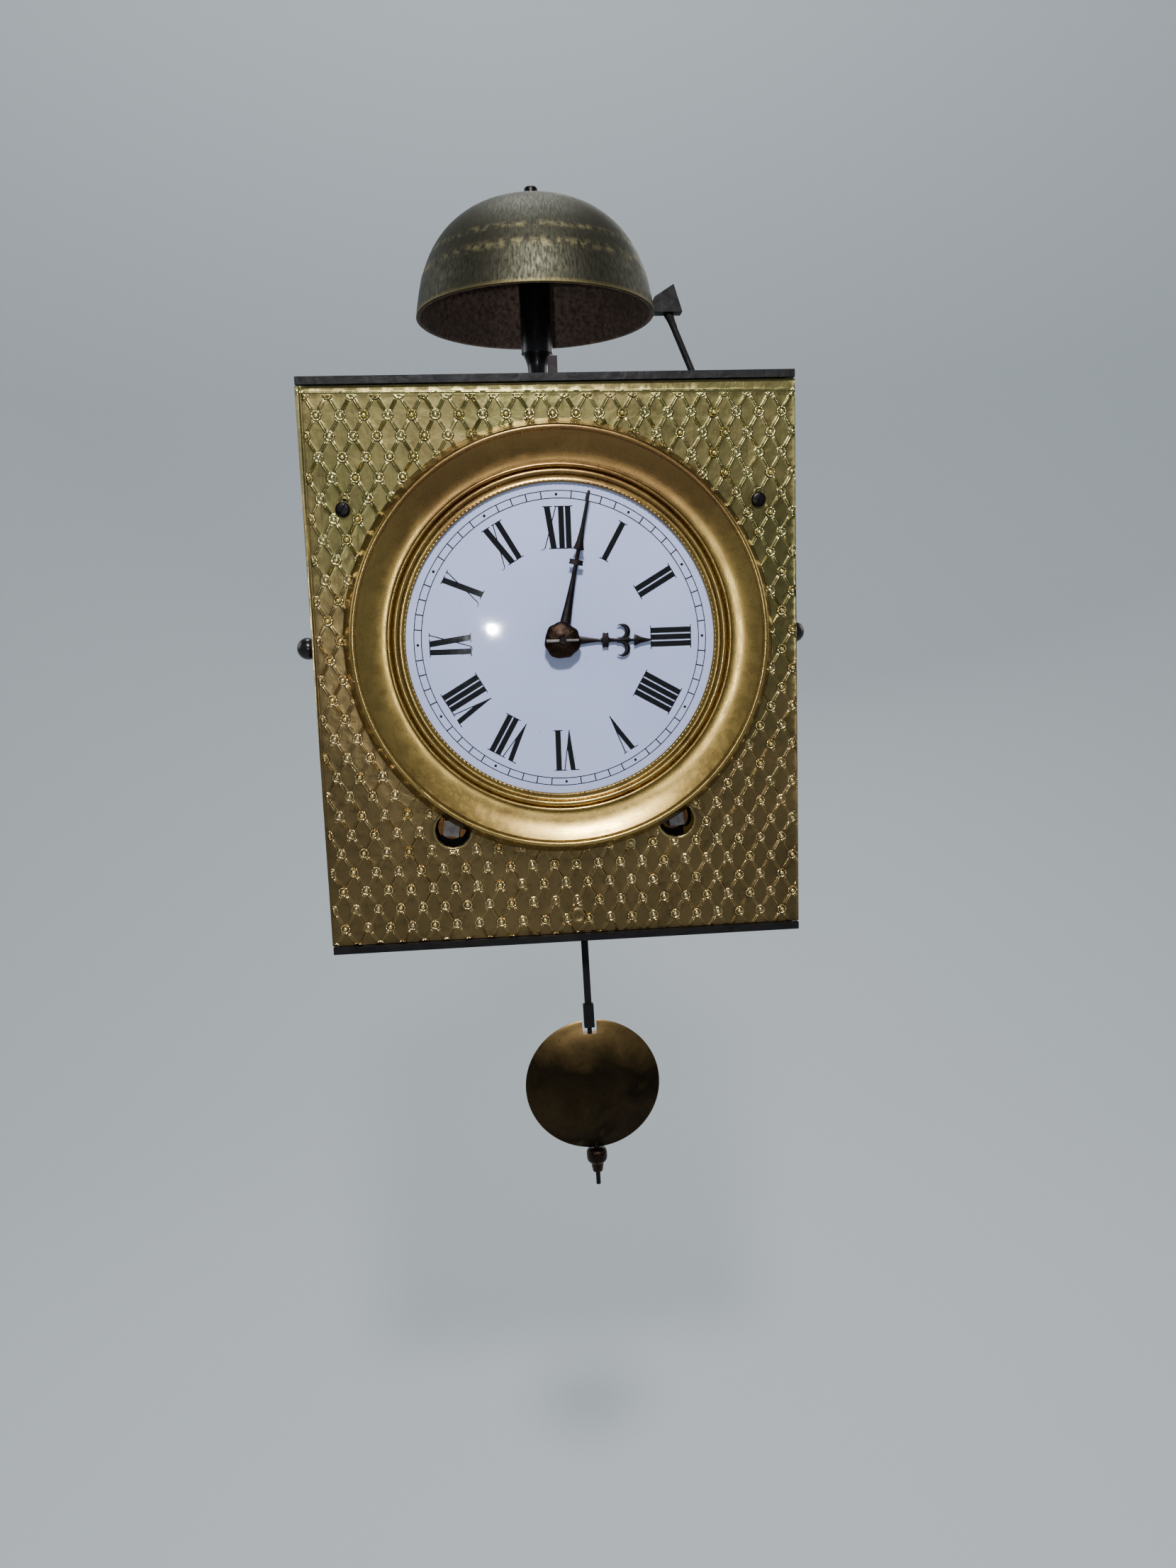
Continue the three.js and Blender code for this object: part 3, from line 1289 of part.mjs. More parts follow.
// Side doors, hung on a rolled rear edge with pins into the plates, each with a turned knob
function doors() {
  const high = plateInnerZ - runningGap;
  for (const [side, sideName] of [[-1, "left"], [1, "right"]]) {
    const frontY = sheetThickness + doorFrontClearance;
    const leaf = block(side * (doorX - doorThickness), side * doorX, frontY, hingeY, -high, high);
    const pinEnd = plateInnerZ + hingePinLength;
    const roll = upright(
      [
        [0, -pinEnd], [hingePinRadius, -pinEnd], [hingePinRadius, -high], [hingeRollRadius, -high],
        [hingeRollRadius, high], [hingePinRadius, high], [hingePinRadius, pinEnd], [0, pinEnd],
      ],
      arborSides, side * hingeX, hingeY,
    );
    add("door_" + sideName, joined(leaf, roll), iron());
    const foot = doorX + seatGap;
    const centre = knobCentreX - foot;
    const profile = [
      [0, 0], [knobFootRadius, 0], [knobFootRadius, knobFootHeight], [knobNeckRadius, 2 * knobFootHeight],
    ];
    const neckAngle = Math.asin(knobNeckRadius / knobRadius);
    for (let i = 0; i <= knobSteps; i += 1) {
      const angle = Math.PI - neckAngle - ((Math.PI - neckAngle) * i) / knobSteps;
      profile.push([knobRadius * Math.sin(angle), centre + knobRadius * Math.cos(angle)]);
    }
    const knob = turned(profile, holeSides, 0, 0).rotateZ(-side * Math.PI / 2);
    add("door_knob_" + sideName, knob.translate(side * foot, knobY, knobZ), iron());
  }
}

cagePlates();
pillars();
movementBars();
backAndHanging();
front();
bellGroup();
barrel("going", -trainX, windingTurnLeft);
barrel("strike", trainX, windingTurnRight);
goingTrain();
strikeTrain();
motionWork();
hands();
hammer();
strikeRack();
pendulum();
anchorAndCrutch();
doors();

export default clock;
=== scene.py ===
"""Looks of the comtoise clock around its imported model. Metres in the row's frame."""

import json
from math import atan2, cos, hypot, pi, radians, sin, sqrt

import bmesh
import bpy
import numpy as np
from mathutils import Matrix, Vector
from mathutils.geometry import delaunay_2d_cdt


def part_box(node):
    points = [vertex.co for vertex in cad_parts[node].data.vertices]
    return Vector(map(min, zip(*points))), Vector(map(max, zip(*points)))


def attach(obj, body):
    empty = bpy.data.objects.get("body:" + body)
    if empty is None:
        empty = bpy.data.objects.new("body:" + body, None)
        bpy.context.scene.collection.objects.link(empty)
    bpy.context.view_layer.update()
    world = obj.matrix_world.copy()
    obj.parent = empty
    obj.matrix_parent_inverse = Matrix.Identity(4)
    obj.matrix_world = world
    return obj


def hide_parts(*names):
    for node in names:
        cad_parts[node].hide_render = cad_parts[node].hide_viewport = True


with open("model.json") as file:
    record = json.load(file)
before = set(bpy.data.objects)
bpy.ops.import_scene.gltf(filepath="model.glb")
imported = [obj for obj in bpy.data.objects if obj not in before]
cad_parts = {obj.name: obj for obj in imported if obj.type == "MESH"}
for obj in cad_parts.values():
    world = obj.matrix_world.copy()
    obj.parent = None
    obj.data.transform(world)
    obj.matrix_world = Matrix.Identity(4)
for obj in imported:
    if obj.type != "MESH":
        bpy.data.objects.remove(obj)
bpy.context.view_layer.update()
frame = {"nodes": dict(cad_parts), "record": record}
BEHAVIOUR = frame["record"]["behaviour"]
SLOTS = {part["node"]: part["material_slot"] for part in frame["record"]["subparts"]}
BODIES = {node: body for body, nodes in BEHAVIOUR["bodies"].items() for node in nodes}

# The clock's own frame: millimetres from the middle of the front sheet's front face, Y to the wall, Z up
MM = 0.001
SHEET_LOW, SHEET_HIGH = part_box("front_sheet")
ORIGIN = Vector(((SHEET_LOW.x + SHEET_HIGH.x) / 2, SHEET_LOW.y, (SHEET_LOW.z + SHEET_HIGH.z) / 2))

# Middle of the dial, and the bell's axis and mouth, in that frame
DIAL_X, DIAL_Z = 1, 11
BELL_X, BELL_Y, BELL_Z = -2.4, 40, 148


def place(x=0, y=0, z=0):
    """A point of the clock's own frame, in metres in the row's frame."""
    return ORIGIN + Vector((x, y, z)) * MM


def own_box(node):
    """Lowest and highest corner of a node in the clock's own frame."""
    low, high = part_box(node)
    return (low - ORIGIN) / MM, (high - ORIGIN) / MM


def centre(node):
    """Middle of a node's box in the clock's own frame."""
    low, high = own_box(node)
    return [(a + b) / 2 for a, b in zip(low, high)]


def hex_colour(text):
    """Linear colour of a written sRGB colour."""
    parts = [int(text[i : i + 2], 16) / 255 for i in (0, 2, 4)]
    linear = [c / 12.92 if c <= 0.04045 else ((c + 0.055) / 1.055) ** 2.4 for c in parts]
    return (*linear, 1)


def add_object(name, data):
    """A new object of the scene."""
    made = bpy.data.objects.new(name, data)
    bpy.context.scene.collection.objects.link(made)
    return made


# Camera at the photograph's place
IMAGE_HEIGHT = 2212
FOCAL_PIXELS = 1533.7
SENSOR_MM = 36
CAMERA_MM = (-26.41, -451.34, 14.88)
CAMERA_FORWARD = (0.07973, 0.98691, -0.14021)
CAMERA_UP = (0.04557, 0.13690, 0.98954)


def make_camera():
    data = bpy.data.cameras.new("camera")
    data.sensor_fit = "AUTO"
    data.sensor_width = SENSOR_MM
    data.lens = SENSOR_MM * FOCAL_PIXELS / IMAGE_HEIGHT
    data.clip_start = 0.01
    forward = Vector(CAMERA_FORWARD).normalized()
    right = forward.cross(Vector(CAMERA_UP)).normalized()
    up = right.cross(forward)
    turn = Matrix((right, up, -forward)).transposed().to_4x4()
    camera = add_object("camera", data)
    camera.matrix_world = Matrix.Translation(place(*CAMERA_MM)) @ turn
    bpy.context.scene.camera = camera


make_camera()


# Node materials
class Finish:
    """A Principled material whose nodes read the object's own coordinates, in metres."""

    def __init__(self, name):
        self.material = bpy.data.materials.new(name)
        self.material.use_nodes = True
        self.tree = self.material.node_tree
        self.shader = self.tree.nodes["Principled BSDF"]
        self.place = self.tree.nodes.new("ShaderNodeTexCoord").outputs["Object"]

    def node(self, kind, output=0, settings=(), **inputs):
        """A node's output. Inputs go by name, or by number as i0, i1 and so on."""
        made = self.tree.nodes.new("ShaderNode" + kind)
        for key, value in dict(settings).items():
            setattr(made, key, value)
        for key, value in inputs.items():
            numbered = key[0] == "i" and key[1:].isdigit()
            self.put(made.inputs[int(key[1:]) if numbered else key], value)
        return made.outputs[output]

    def put(self, socket, value):
        if isinstance(value, bpy.types.NodeSocket):
            self.tree.links.new(value, socket)
        else:
            socket.default_value = value

    def stretched(self, x, y, z):
        return self.node("Mapping", Vector=self.place, Scale=(x, y, z))

    def noise(self, scale, detail, roughness, distortion=0.0, where=None):
        """Uneven cloud pattern, mostly between 0.3 and 0.7, with a scale per metre."""
        return self.node(
            "TexNoise", Vector=where or self.place,
            Scale=scale, Detail=detail, Roughness=roughness, Distortion=distortion,
        )

    def ramp(self, factor, low, high, start=0.0, end=1.0):
        """start at low and end at high, clamped."""
        return self.node("MapRange", i0=factor, i1=low, i2=high, i3=start, i4=end)

    def mixed(self, factor, first, second):
        made = self.tree.nodes.new("ShaderNodeMix")
        made.data_type = "RGBA"
        self.put(made.inputs[0], factor)
        self.put(made.inputs[6], first)
        self.put(made.inputs[7], second)
        return made.outputs[2]

    def tones(self, pattern, low, high, first, second):
        """Two written colours: the first up to the pattern's low, the second from its high."""
        return self.mixed(self.ramp(pattern, low, high), hex_colour(first), hex_colour(second))

    def over(self, under, pattern, low, high, share, colour):
        """A written colour laid over another, by a share where the pattern has passed its high."""
        return self.mixed(self.ramp(pattern, low, high, 0.0, share), under, hex_colour(colour))

    def calc(self, operation, first, second=0.0):
        return self.node("Math", settings={"operation": operation}, i0=first, i1=second)

    def plus(self, first, second):
        return self.calc("ADD", first, second)

    def less(self, first, second):
        return self.calc("SUBTRACT", first, second)

    def times(self, first, second):
        return self.calc("MULTIPLY", first, second)

    def axis(self, index):
        """One coordinate of the place, in metres."""
        return self.node("SeparateXYZ", output=index, Vector=self.place)

    def done(self, colour, roughness, metallic, *bumps, **others):
        """The finished material. A bump is a pattern, its strength and its height in millimetres."""
        normal = {}
        for pattern, strength, height in bumps:
            made = self.node("Bump", Strength=strength, Distance=height * MM, Height=pattern, **normal)
            normal = {"Normal": made}
        values = {"Base_Color": colour, "Roughness": roughness, "Metallic": metallic, **normal, **others}
        for key, value in values.items():
            self.put(self.shader.inputs[key.replace("_", " ")], value)
        return self.material


def aged_metal(f, clean, dull, stain, patches, smooth, rough, grain, bump_mm, metallic=1.0):
    """Metal with large tarnished patches, small stains, fine scratches and an uneven surface."""
    large = f.noise(patches, 5.0, 0.6, 0.4)
    small = f.noise(patches * 9, 4.0, 0.65)
    colour = f.tones(large, 0.38, 0.64, clean, dull)
    colour = f.over(colour, small, 0.56, 0.74, 0.8, stain)
    scratches = f.noise(grain, 3.0, 0.7, 0.0, f.stretched(1, 1, 0.08))
    shine = f.plus(f.ramp(large, 0.3, 0.7, smooth, rough), f.ramp(scratches, 0.35, 0.7, -0.04, 0.1))
    return f.done(colour, shine, metallic, (small, 0.5, bump_mm), (scratches, 0.3, bump_mm / 3))


def hammered_iron(f, clean, dull, rust, blow_scale, smooth, rough, bump_mm):
    """Black forged iron with hammer marks, fine scale and a little rust."""
    large = f.noise(70, 5.0, 0.6, 0.5)
    blows = f.noise(blow_scale, 2.0, 0.4, 0.6)
    fine = f.noise(1500, 4.0, 0.7)
    colour = f.tones(large, 0.35, 0.66, clean, dull)
    colour = f.over(colour, f.noise(260, 5.0, 0.7), 0.58, 0.72, 0.7, rust)
    shine = f.plus(f.ramp(blows, 0.3, 0.7, smooth, rough), f.ramp(fine, 0.3, 0.7, -0.05, 0.08))
    bumps = (blows, 0.8, bump_mm), (fine, 0.4, bump_mm / 5)
    return f.done(colour, shine, 0.25, *bumps, Specular_IOR_Level=0.22)


def sheet_iron(f):
    """Rolled sheet iron: grey-brown, with faint rolling streaks, scale and rust spots."""
    cloud = f.noise(14, 8.0, 0.68, 0.3)
    rolled = f.noise(300, 4.0, 0.6, 0.3, f.stretched(1, 1, 0.16))
    scale = f.noise(520, 6.0, 0.72)
    rust = f.noise(75, 7.0, 0.72, 0.4)
    colour = f.tones(cloud, 0.36, 0.66, "57524e", "3b3735")
    colour = f.over(colour, rolled, 0.4, 0.68, 0.3, "2d2a29")
    colour = f.over(colour, rust, 0.57, 0.68, 0.75, "5f3d29")
    colour = f.over(colour, scale, 0.6, 0.74, 0.7, "241f1d")
    shine = f.plus(f.ramp(rolled, 0.3, 0.7, 0.36, 0.48), f.ramp(rust, 0.5, 0.66, 0.0, 0.25))
    return f.done(colour, shine, 0.8, (scale, 0.6, 0.12), (cloud, 0.4, 1.2))


def embossed_brass(f):
    """Stamped brass: greenish above and warmer to the lower left, partly its own uneven tone and partly a
    painted reflection of an overhead lamp; brown below the relief; near-white on the raised tops, partly wear
    and partly a painted highlight.
    """
    across = f.less(f.axis(0), ORIGIN.x)
    out = f.less(ORIGIN.y, f.axis(1))
    up = f.less(f.axis(2), ORIGIN.z)
    large = f.noise(26, 5.0, 0.6, 0.5)
    small = f.noise(240, 5.0, 0.7)
    # Greener above and warmer to the lower left: partly the brass's uneven tone, partly a painted reflection
    # of an overhead lamp
    fall = f.plus(up, f.times(across, 0.25))
    lower = f.plus(f.ramp(fall, 0.09, -0.07), f.ramp(large, 0.3, 0.7, -0.35, 0.35))
    colour = f.tones(lower, 0.15, 0.85, "8d8753", "a48a5a")
    colour = f.over(colour, small, 0.52, 0.75, 0.75, "4f3c27")
    ground = f.ramp(out, 0.00005, 0.00045, 0.75, 0.0)
    colour = f.mixed(ground, colour, hex_colour("564830"))
    # Near-white on the raised tops: worn brass, and also a painted highlight on the crests
    colour = f.over(colour, out, 0.0005, 0.0010, 0.85, "f8e6ae")
    shine = f.plus(f.ramp(large, 0.3, 0.7, 0.2, 0.32), f.ramp(out, 0.0001, 0.0007, 0.08, -0.06))
    dents = f.noise(95, 3.0, 0.5, 0.6)
    strokes = f.noise(420, 3.0, 0.6, 0.8, f.stretched(1, 1, 0.14))
    return f.done(colour, shine, 1.0, (small, 0.7, 0.13), (strokes, 0.5, 0.09), (dents, 0.5, 0.5))


def bezel_brass(f):
    """Spun brass ring: turning lines, painted shade in brown towards the top, where the hollow band faces
    down, dull patches and small dark stains.
    """
    across = f.less(f.axis(0), place(x=DIAL_X).x)
    up = f.less(f.axis(2), place(z=DIAL_Z).z)
    out = f.less(ORIGIN.y, f.axis(1))
    radius = f.calc("POWER", f.plus(f.times(across, across), f.times(up, up)), 0.5)
    ring_place = f.node("CombineXYZ", i0=f.times(radius, 9.0), i1=out, i2=f.times(up, 0.6))
    turning = f.noise(330, 4.0, 0.65, 0.2, ring_place)
    large = f.noise(24, 5.0, 0.62, 0.7)
    small = f.noise(210, 5.0, 0.7, 0.3)
    # Painted shade: browner towards the top of the ring, broken up by large patches
    top = f.plus(f.ramp(up, 0.02, 0.07), f.ramp(large, 0.35, 0.65, -0.35, 0.35))
    colour = f.tones(turning, 0.3, 0.7, "aa8f51", "917641")
    colour = f.over(colour, top, 0.1, 0.9, 0.85, "775a37")
    colour = f.over(colour, large, 0.55, 0.7, 0.6, "7f663c")
    colour = f.over(colour, small, 0.58, 0.8, 0.45, "4b3824")
    shine = f.plus(f.ramp(turning, 0.3, 0.7, 0.23, 0.31), f.ramp(small, 0.45, 0.7, 0.0, 0.1))
    return f.done(colour, shine, 1.0, (turning, 0.3, 0.03), (small, 0.35, 0.06))


# Worn bands round the bell: height and half width
BELL_BANDS = ((164.0, 1.3), (171.5, 0.9))


def bell_bronze(f):
    """Turned bronze, dark olive, with fine upright streaks, two worn bands and a painted highlight along the
    lip.
    """
    across = f.less(f.axis(0), place(x=BELL_X).x)
    deep = f.less(place(y=BELL_Y).y, f.axis(1))
    up = f.axis(2)
    around = f.times(f.calc("ARCTAN2", across, deep), 0.045)
    wall = f.node("CombineXYZ", i0=around, i1=f.times(up, 0.28), i2=0.0)
    streaks = f.noise(1100, 4.0, 0.65, 0.3, wall)
    cloud = f.noise(38, 5.0, 0.6, 0.5)
    small = f.noise(800, 4.0, 0.7)
    colour = f.tones(streaks, 0.34, 0.66, "49473b", "27261e")
    colour = f.over(colour, cloud, 0.4, 0.66, 0.7, "343226")
    for height, half in BELL_BANDS:
        gap = f.calc("ABSOLUTE", f.less(up, place(z=height).z))
        near = f.ramp(gap, 0.0, half * 2 * MM, 1.0, 0.0)
        worn = f.ramp(f.noise(330, 4.0, 0.6), 0.45, 0.62, 0.0, 0.8)
        colour = f.mixed(f.times(near, worn), colour, hex_colour("7f7654"))
    # Painted highlight: a brighter line along the bell's lip
    lip = f.ramp(up, place(z=BELL_Z + 0.2).z, place(z=BELL_Z + 2).z, 0.5, 0.0)
    colour = f.mixed(lip, colour, hex_colour("84764a"))
    shine = f.plus(f.ramp(streaks, 0.3, 0.7, 0.46, 0.62), f.ramp(cloud, 0.3, 0.7, -0.05, 0.06))
    return f.done(colour, shine, 1.0, (streaks, 0.8, 0.12), (small, 0.3, 0.05))


def bob_brass(f):
    """Brass sheet gone brown: fine level rubbing marks, and a painted highlight, warmer and brighter, near
    the top.
    """
    large = f.noise(40, 5.0, 0.6, 0.4)
    rub = f.noise(1400, 3.0, 0.7, 0.6, f.stretched(0.25, 1, 1))
    small = f.noise(420, 5.0, 0.7)
    # Painted highlight: a warmer, brighter patch towards the top of the bob
    painted_top_highlight = f.ramp(f.axis(2), place(z=-185).z, place(z=-160).z, 0.0, 0.8)
    top = f.plus(painted_top_highlight, f.ramp(large, 0.3, 0.7, -0.3, 0.3))
    colour = f.tones(large, 0.35, 0.65, "3d3120", "211b14")
    colour = f.over(colour, top, 0.2, 0.9, 0.7, "96784a")
    colour = f.over(colour, small, 0.56, 0.74, 0.6, "17120e")
    shine = f.plus(f.ramp(large, 0.3, 0.7, 0.26, 0.38), f.ramp(rub, 0.3, 0.7, -0.03, 0.08))
    return f.done(colour, shine, 1.0, (rub, 0.35, 0.04), (large, 0.3, 0.25))


def bell_inside(f):
    """The bell's rough unturned inside: brown, matt and pitted, in browns made paler as painted light inside
    the bell.
    """
    cast = f.noise(520, 5.0, 0.7, 0.4)
    # Painted light: these browns are paler than the bronze's own, to stand in for light inside the bell
    colour = f.tones(cast, 0.35, 0.66, "947a6b", "4f4038")
    colour = f.over(colour, f.noise(60, 4.0, 0.6), 0.45, 0.7, 0.6, "64584c")
    return f.done(colour, f.ramp(cast, 0.3, 0.7, 0.55, 0.8), 0.45, (cast, 0.8, 0.3))


def white_enamel(f):
    """Fired enamel: cool white, faintly uneven, with tiny specks and hair scratches."""
    colour = f.tones(f.noise(18, 4.0, 0.5), 0.35, 0.65, "aeb6d8", "a5add0")
    near_speck = f.ramp(f.node("TexVoronoi", Vector=f.place, Scale=330), 0.05, 0.085, 1.0, 0.0)
    speck = f.times(near_speck, f.ramp(f.noise(900, 2.0, 0.5), 0.56, 0.62))
    colour = f.mixed(f.times(speck, 0.8), colour, hex_colour("4a3f38"))
    hairs = f.noise(160, 3.0, 0.6, 2.5, f.stretched(1, 1, 0.3))
    hair = f.ramp(f.calc("ABSOLUTE", f.less(hairs, 0.5)), 0.0, 0.006, 0.18, 0.0)
    colour = f.mixed(hair, colour, hex_colour("9aa0ad"))
    shine = f.ramp(f.noise(120, 4.0, 0.6), 0.3, 0.7, 0.03, 0.06)
    return f.done(colour, shine, 0.0, (f.noise(60, 3.0, 0.5), 0.25, 0.05))


def figure_enamel(f):
    """Black fired figures, slightly worn through."""
    wear = f.noise(1100, 4.0, 0.7)
    colour = f.mixed(f.ramp(wear, 0.66, 0.8, 0.0, 0.35), hex_colour("0e0e11"), hex_colour("55575e"))
    shine = f.ramp(f.noise(300, 3.0, 0.6), 0.3, 0.7, 0.05, 0.12)
    return f.done(colour, shine, 0.0, (wear, 0.2, 0.02))


# Finishes: maker, clean, dull and stain or rust colours, scale of the patches or blows, lowest and highest
# roughness, then scale of the scratches (aged_metal alone), height of the bumps in mm, and metallic if not 1
FINISHES = {
    "hammered_iron": (hammered_iron, "181617", "0d0c0d", "231813", 210, 0.42, 0.62, 0.5),
    "forged_iron": (hammered_iron, "111011", "0a090a", "1d1512", 300, 0.5, 0.7, 0.22),
    "dark_steel": (aged_metal, "292627", "171516", "33231c", 140, 0.28, 0.46, 1700, 0.06),
    "bright_steel": (aged_metal, "8f8985", "6a6462", "5b483c", 150, 0.34, 0.55, 1800, 0.08),
    "aged_bronze": (aged_metal, "33261e", "1a1412", "5d4433", 260, 0.2, 0.36, 1500, 0.3),
    "black_lacquer": (aged_metal, "181615", "0f0e0e", "2a1f19", 110, 0.16, 0.3, 1400, 0.1, 0.3),
    "wheel_brass": (aged_metal, "c7a150", "98773a", "6a4b25", 80, 0.26, 0.44, 1700, 0.08),
    "flange_brass": (aged_metal, "a8784a", "74502f", "4a3020", 160, 0.3, 0.45, 1500, 0.15),
}
OWN_MAKERS = [
    sheet_iron, embossed_brass, bezel_brass, bell_bronze, bell_inside, bob_brass, white_enamel, figure_enamel,
]
FINISHES.update({maker.__name__: (maker,) for maker in OWN_MAKERS})
finishes = {name: maker(Finish(name), *values) for name, (maker, *values) in FINISHES.items()}


# Meshes in the clock's own frame
def outward_mesh(name, points, faces):
    """A closed mesh from points in millimetres, with its faces turned outward."""
    mesh = bpy.data.meshes.new(name)
    spots = np.asarray(points, float) * MM + np.array(ORIGIN)
    mesh.from_pydata(spots.tolist(), [], faces)
    bm = bmesh.new()
    bm.from_mesh(mesh)
    bmesh.ops.recalc_face_normals(bm, faces=bm.faces)
    bm.to_mesh(mesh)
    bm.free()
    return mesh


def shade(mesh, angle):
    """Smooth shading, with edges sharper than an angle in degrees left crisp."""
    mesh.shade_smooth()
    mesh.set_sharp_from_angle(angle=radians(angle))


CRISP_ANGLE = 38


def add_piece(name, points, faces, body, finish, nodes=(), angle=CRISP_ANGLE, matrix=None):
    """A piece that rides on a body and replaces nodes, with its finish as its one material."""
    spots = np.asarray(points, float)
    if matrix is not None:
        spots = spots @ np.array(matrix.to_3x3()).T + np.array(matrix.translation)
    mesh = outward_mesh(name, spots, faces)
    shade(mesh, angle)
    mesh.materials.append(finishes[finish])
    piece = add_object(name, mesh)
    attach(piece, body)
    if nodes:
        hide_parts(*nodes)
    return piece


def cut(piece, points, faces):
    """Takes a closed shape away from a piece."""
    cutter = add_object("cutter", outward_mesh("cutter", points, faces))
    taking = piece.modifiers.new("taking", "BOOLEAN")
    taking.operation = "DIFFERENCE"
    taking.solver = "EXACT"
    taking.object = cutter
    graph = bpy.context.evaluated_depsgraph_get()
    made = bpy.data.meshes.new_from_object(piece.evaluated_get(graph))
    piece.modifiers.clear()
    bpy.data.objects.remove(cutter)
    made.name = piece.name
    piece.data = made
    shade(made, CRISP_ANGLE)


def box_mesh(x0, x1, y0, y1, z0, z1):
    points = [(x, y, z) for x in (x0, x1) for y in (y0, y1) for z in (z0, z1)]
    faces = [(0, 1, 3, 2), (4, 6, 7, 5), (0, 4, 5, 1), (2, 3, 7, 6), (0, 2, 6, 4), (1, 5, 7, 3)]
    return points, faces


def cut_slot(piece, sizes, x, z, degrees):
    """Cuts a box out of a piece, turned in the sheet's plane about a place."""
    points, faces = box_mesh(*sizes)
    turn = radians(degrees)
    c, s = cos(turn), sin(turn)
    cut(piece, [(x + a * c - h * s, y, z + a * s + h * c) for a, y, h in points], faces)


def circle(x, z, radius, count):
    """Places round a circle."""
    turns = np.linspace(0, 2 * pi, count, endpoint=False)
    return [(x + radius * cos(t), z + radius * sin(t)) for t in turns]


def eased(points, steps=6):
    """A smooth line through the points; a point given twice is a corner."""
    line = []
    for i in range(len(points) - 1):
        p1, p2 = np.array(points[i], float), np.array(points[i + 1], float)
        if np.allclose(p1, p2):
            continue
        p0 = np.array(points[i - 1], float) if i > 0 else p1
        p3 = np.array(points[i + 2], float) if i + 2 < len(points) else p2
        for k in range(steps):
            t = k / steps
            spot = 2 * p1 + (p2 - p0) * t + (2 * p0 - 5 * p1 + 4 * p2 - p3) * t * t
            spot = (spot + (3 * p1 - p0 - 3 * p2 + p3) * t**3) / 2
            line.append(tuple(spot))
    line.append(tuple(points[-1]))
    return line


def forward(profile):
    """A profile whose heights were measured to the front of the sheet."""
    return [(radius, -height) for radius, height in profile]


ON_AXIS = 1e-6


def turned(profile, sides, ring=False):
    """Points (a, b, height) and faces of a turned body. A ring's profile closes, others end on the axis."""
    points, faces, starts = [], [], []
    turns = np.linspace(0, 2 * pi, sides, endpoint=False)
    for radius, height in profile:
        starts.append(len(points))
        if radius < ON_AXIS:
            points.append((0.0, 0.0, height))
        else:
            points.extend((radius * cos(t), radius * sin(t), height) for t in turns)
    for i in range(len(profile) if ring else len(profile) - 1):
        n = (i + 1) % len(profile)
        a, b = starts[i], starts[n]
        first, second = profile[i][0] < ON_AXIS, profile[n][0] < ON_AXIS
        for k in range(sides):
            m = (k + 1) % sides
            if first and not second:
                faces.append((a, b + m, b + k))
            elif second and not first:
                faces.append((a + k, a + m, b))
            elif not first and not second:
                faces.append((a + k, a + m, b + m, b + k))
    return np.array(points), faces


def polar(points):
    """Radius and turn of turned points about their axis."""
    return np.hypot(points[:, 0], points[:, 1]), np.arctan2(points[:, 1], points[:, 0])


def facing(points, x, z):
    """Turned points laid with their axis along Y."""
    return np.column_stack((points[:, 0] + x, points[:, 2], points[:, 1] + z))


def standing(points, x, y):
    """Turned points laid with their axis along Z."""
    return np.column_stack((points[:, 0] + x, points[:, 1] + y, points[:, 2]))


# Waves of an uneven surface: how fast each runs along its two directions, and its shift
WAVES = ((1.0, 0.3, 0.1), (-0.4, 1.1, 1.7), (0.9, 0.8, 2.9), (1.7, -1.2, 4.1), (-1.5, 1.9, 5.3))
WAVE_SUM = 3.1


def waves(a, b, seed=0.0):
    """A smooth uneven surface between -1 and 1, the same each run."""
    total = 0.0
    for k, (u, v, shift) in enumerate(WAVES):
        total = total + np.sin(u * a + v * b + shift + seed * (k + 1)) / (1 + 0.5 * k)
    return total / WAVE_SUM


def rise(value, width):
    """0 below zero, 1 from a width on, and a straight rise between."""
    return np.clip(value / width, 0, 1)


def hump(value, width):
    """A smooth hump of height 1 about zero."""
    return np.exp(-((value / width) ** 2))


# Bezel: a spun ring with a round crest, a hollow band, two beads and a rope at its inner edge
BEZEL_FRONT = [
    (88.5, 0.28), (88.4, 0.9), (88.0, 2.0), (87.4, 3.3), (86.8, 4.7), (86.1, 6.3), (85.5, 7.5), (85.2, 8.1),
    (85.2, 8.1), (84.95, 8.7), (84.4, 9.3), (83.8, 9.5), (83.2, 9.35), (82.8, 8.9), (82.5, 8.3), (82.5, 8.3),
    (80.9, 7.3), (79.0, 6.25), (77.0, 5.3), (75.0, 4.55), (73.0, 4.05), (71.6, 3.85), (70.9, 3.85),
    (70.9, 3.85), (70.6, 4.3), (70.0, 4.5), (69.4, 4.2), (69.1, 3.5), (68.85, 3.0), (68.85, 3.0), (68.6, 3.5),
    (68.1, 4.05), (67.5, 4.25), (66.9, 4.1), (66.4, 3.6), (66.0, 2.8), (66.0, 2.8), (65.6, 2.5), (65.0, 2.45),
    (64.5, 2.55), (64.3, 2.6), (64.3, 2.6), (63.9, 2.7), (63.5, 2.55), (63.3, 2.3), (63.3, 2.3), (63.3, 1.75),
]
BEZEL_BACK = [
    (69.1, 1.9), (74.6, 3.7), (79.0, 5.6), (82.45, 7.4), (84.5, 8.3), (86.0, 5.6), (87.4, 1.6), (87.7, 0.28),
]
# Dents: turn about the dial in radians, radius, width and depth
BEZEL_DENTS = ((3.93, 84, 2.2, 0.55), (4.02, 83.6, 1.2, 0.4), (3.45, 78, 3.0, 0.3), (1.75, 76, 1.5, 0.2))
ROPE_RADIUS = 63.85
ROPE_HEIGHT = 2.75
ROPE_THICK = 0.5
ROPE_BEADS = 210


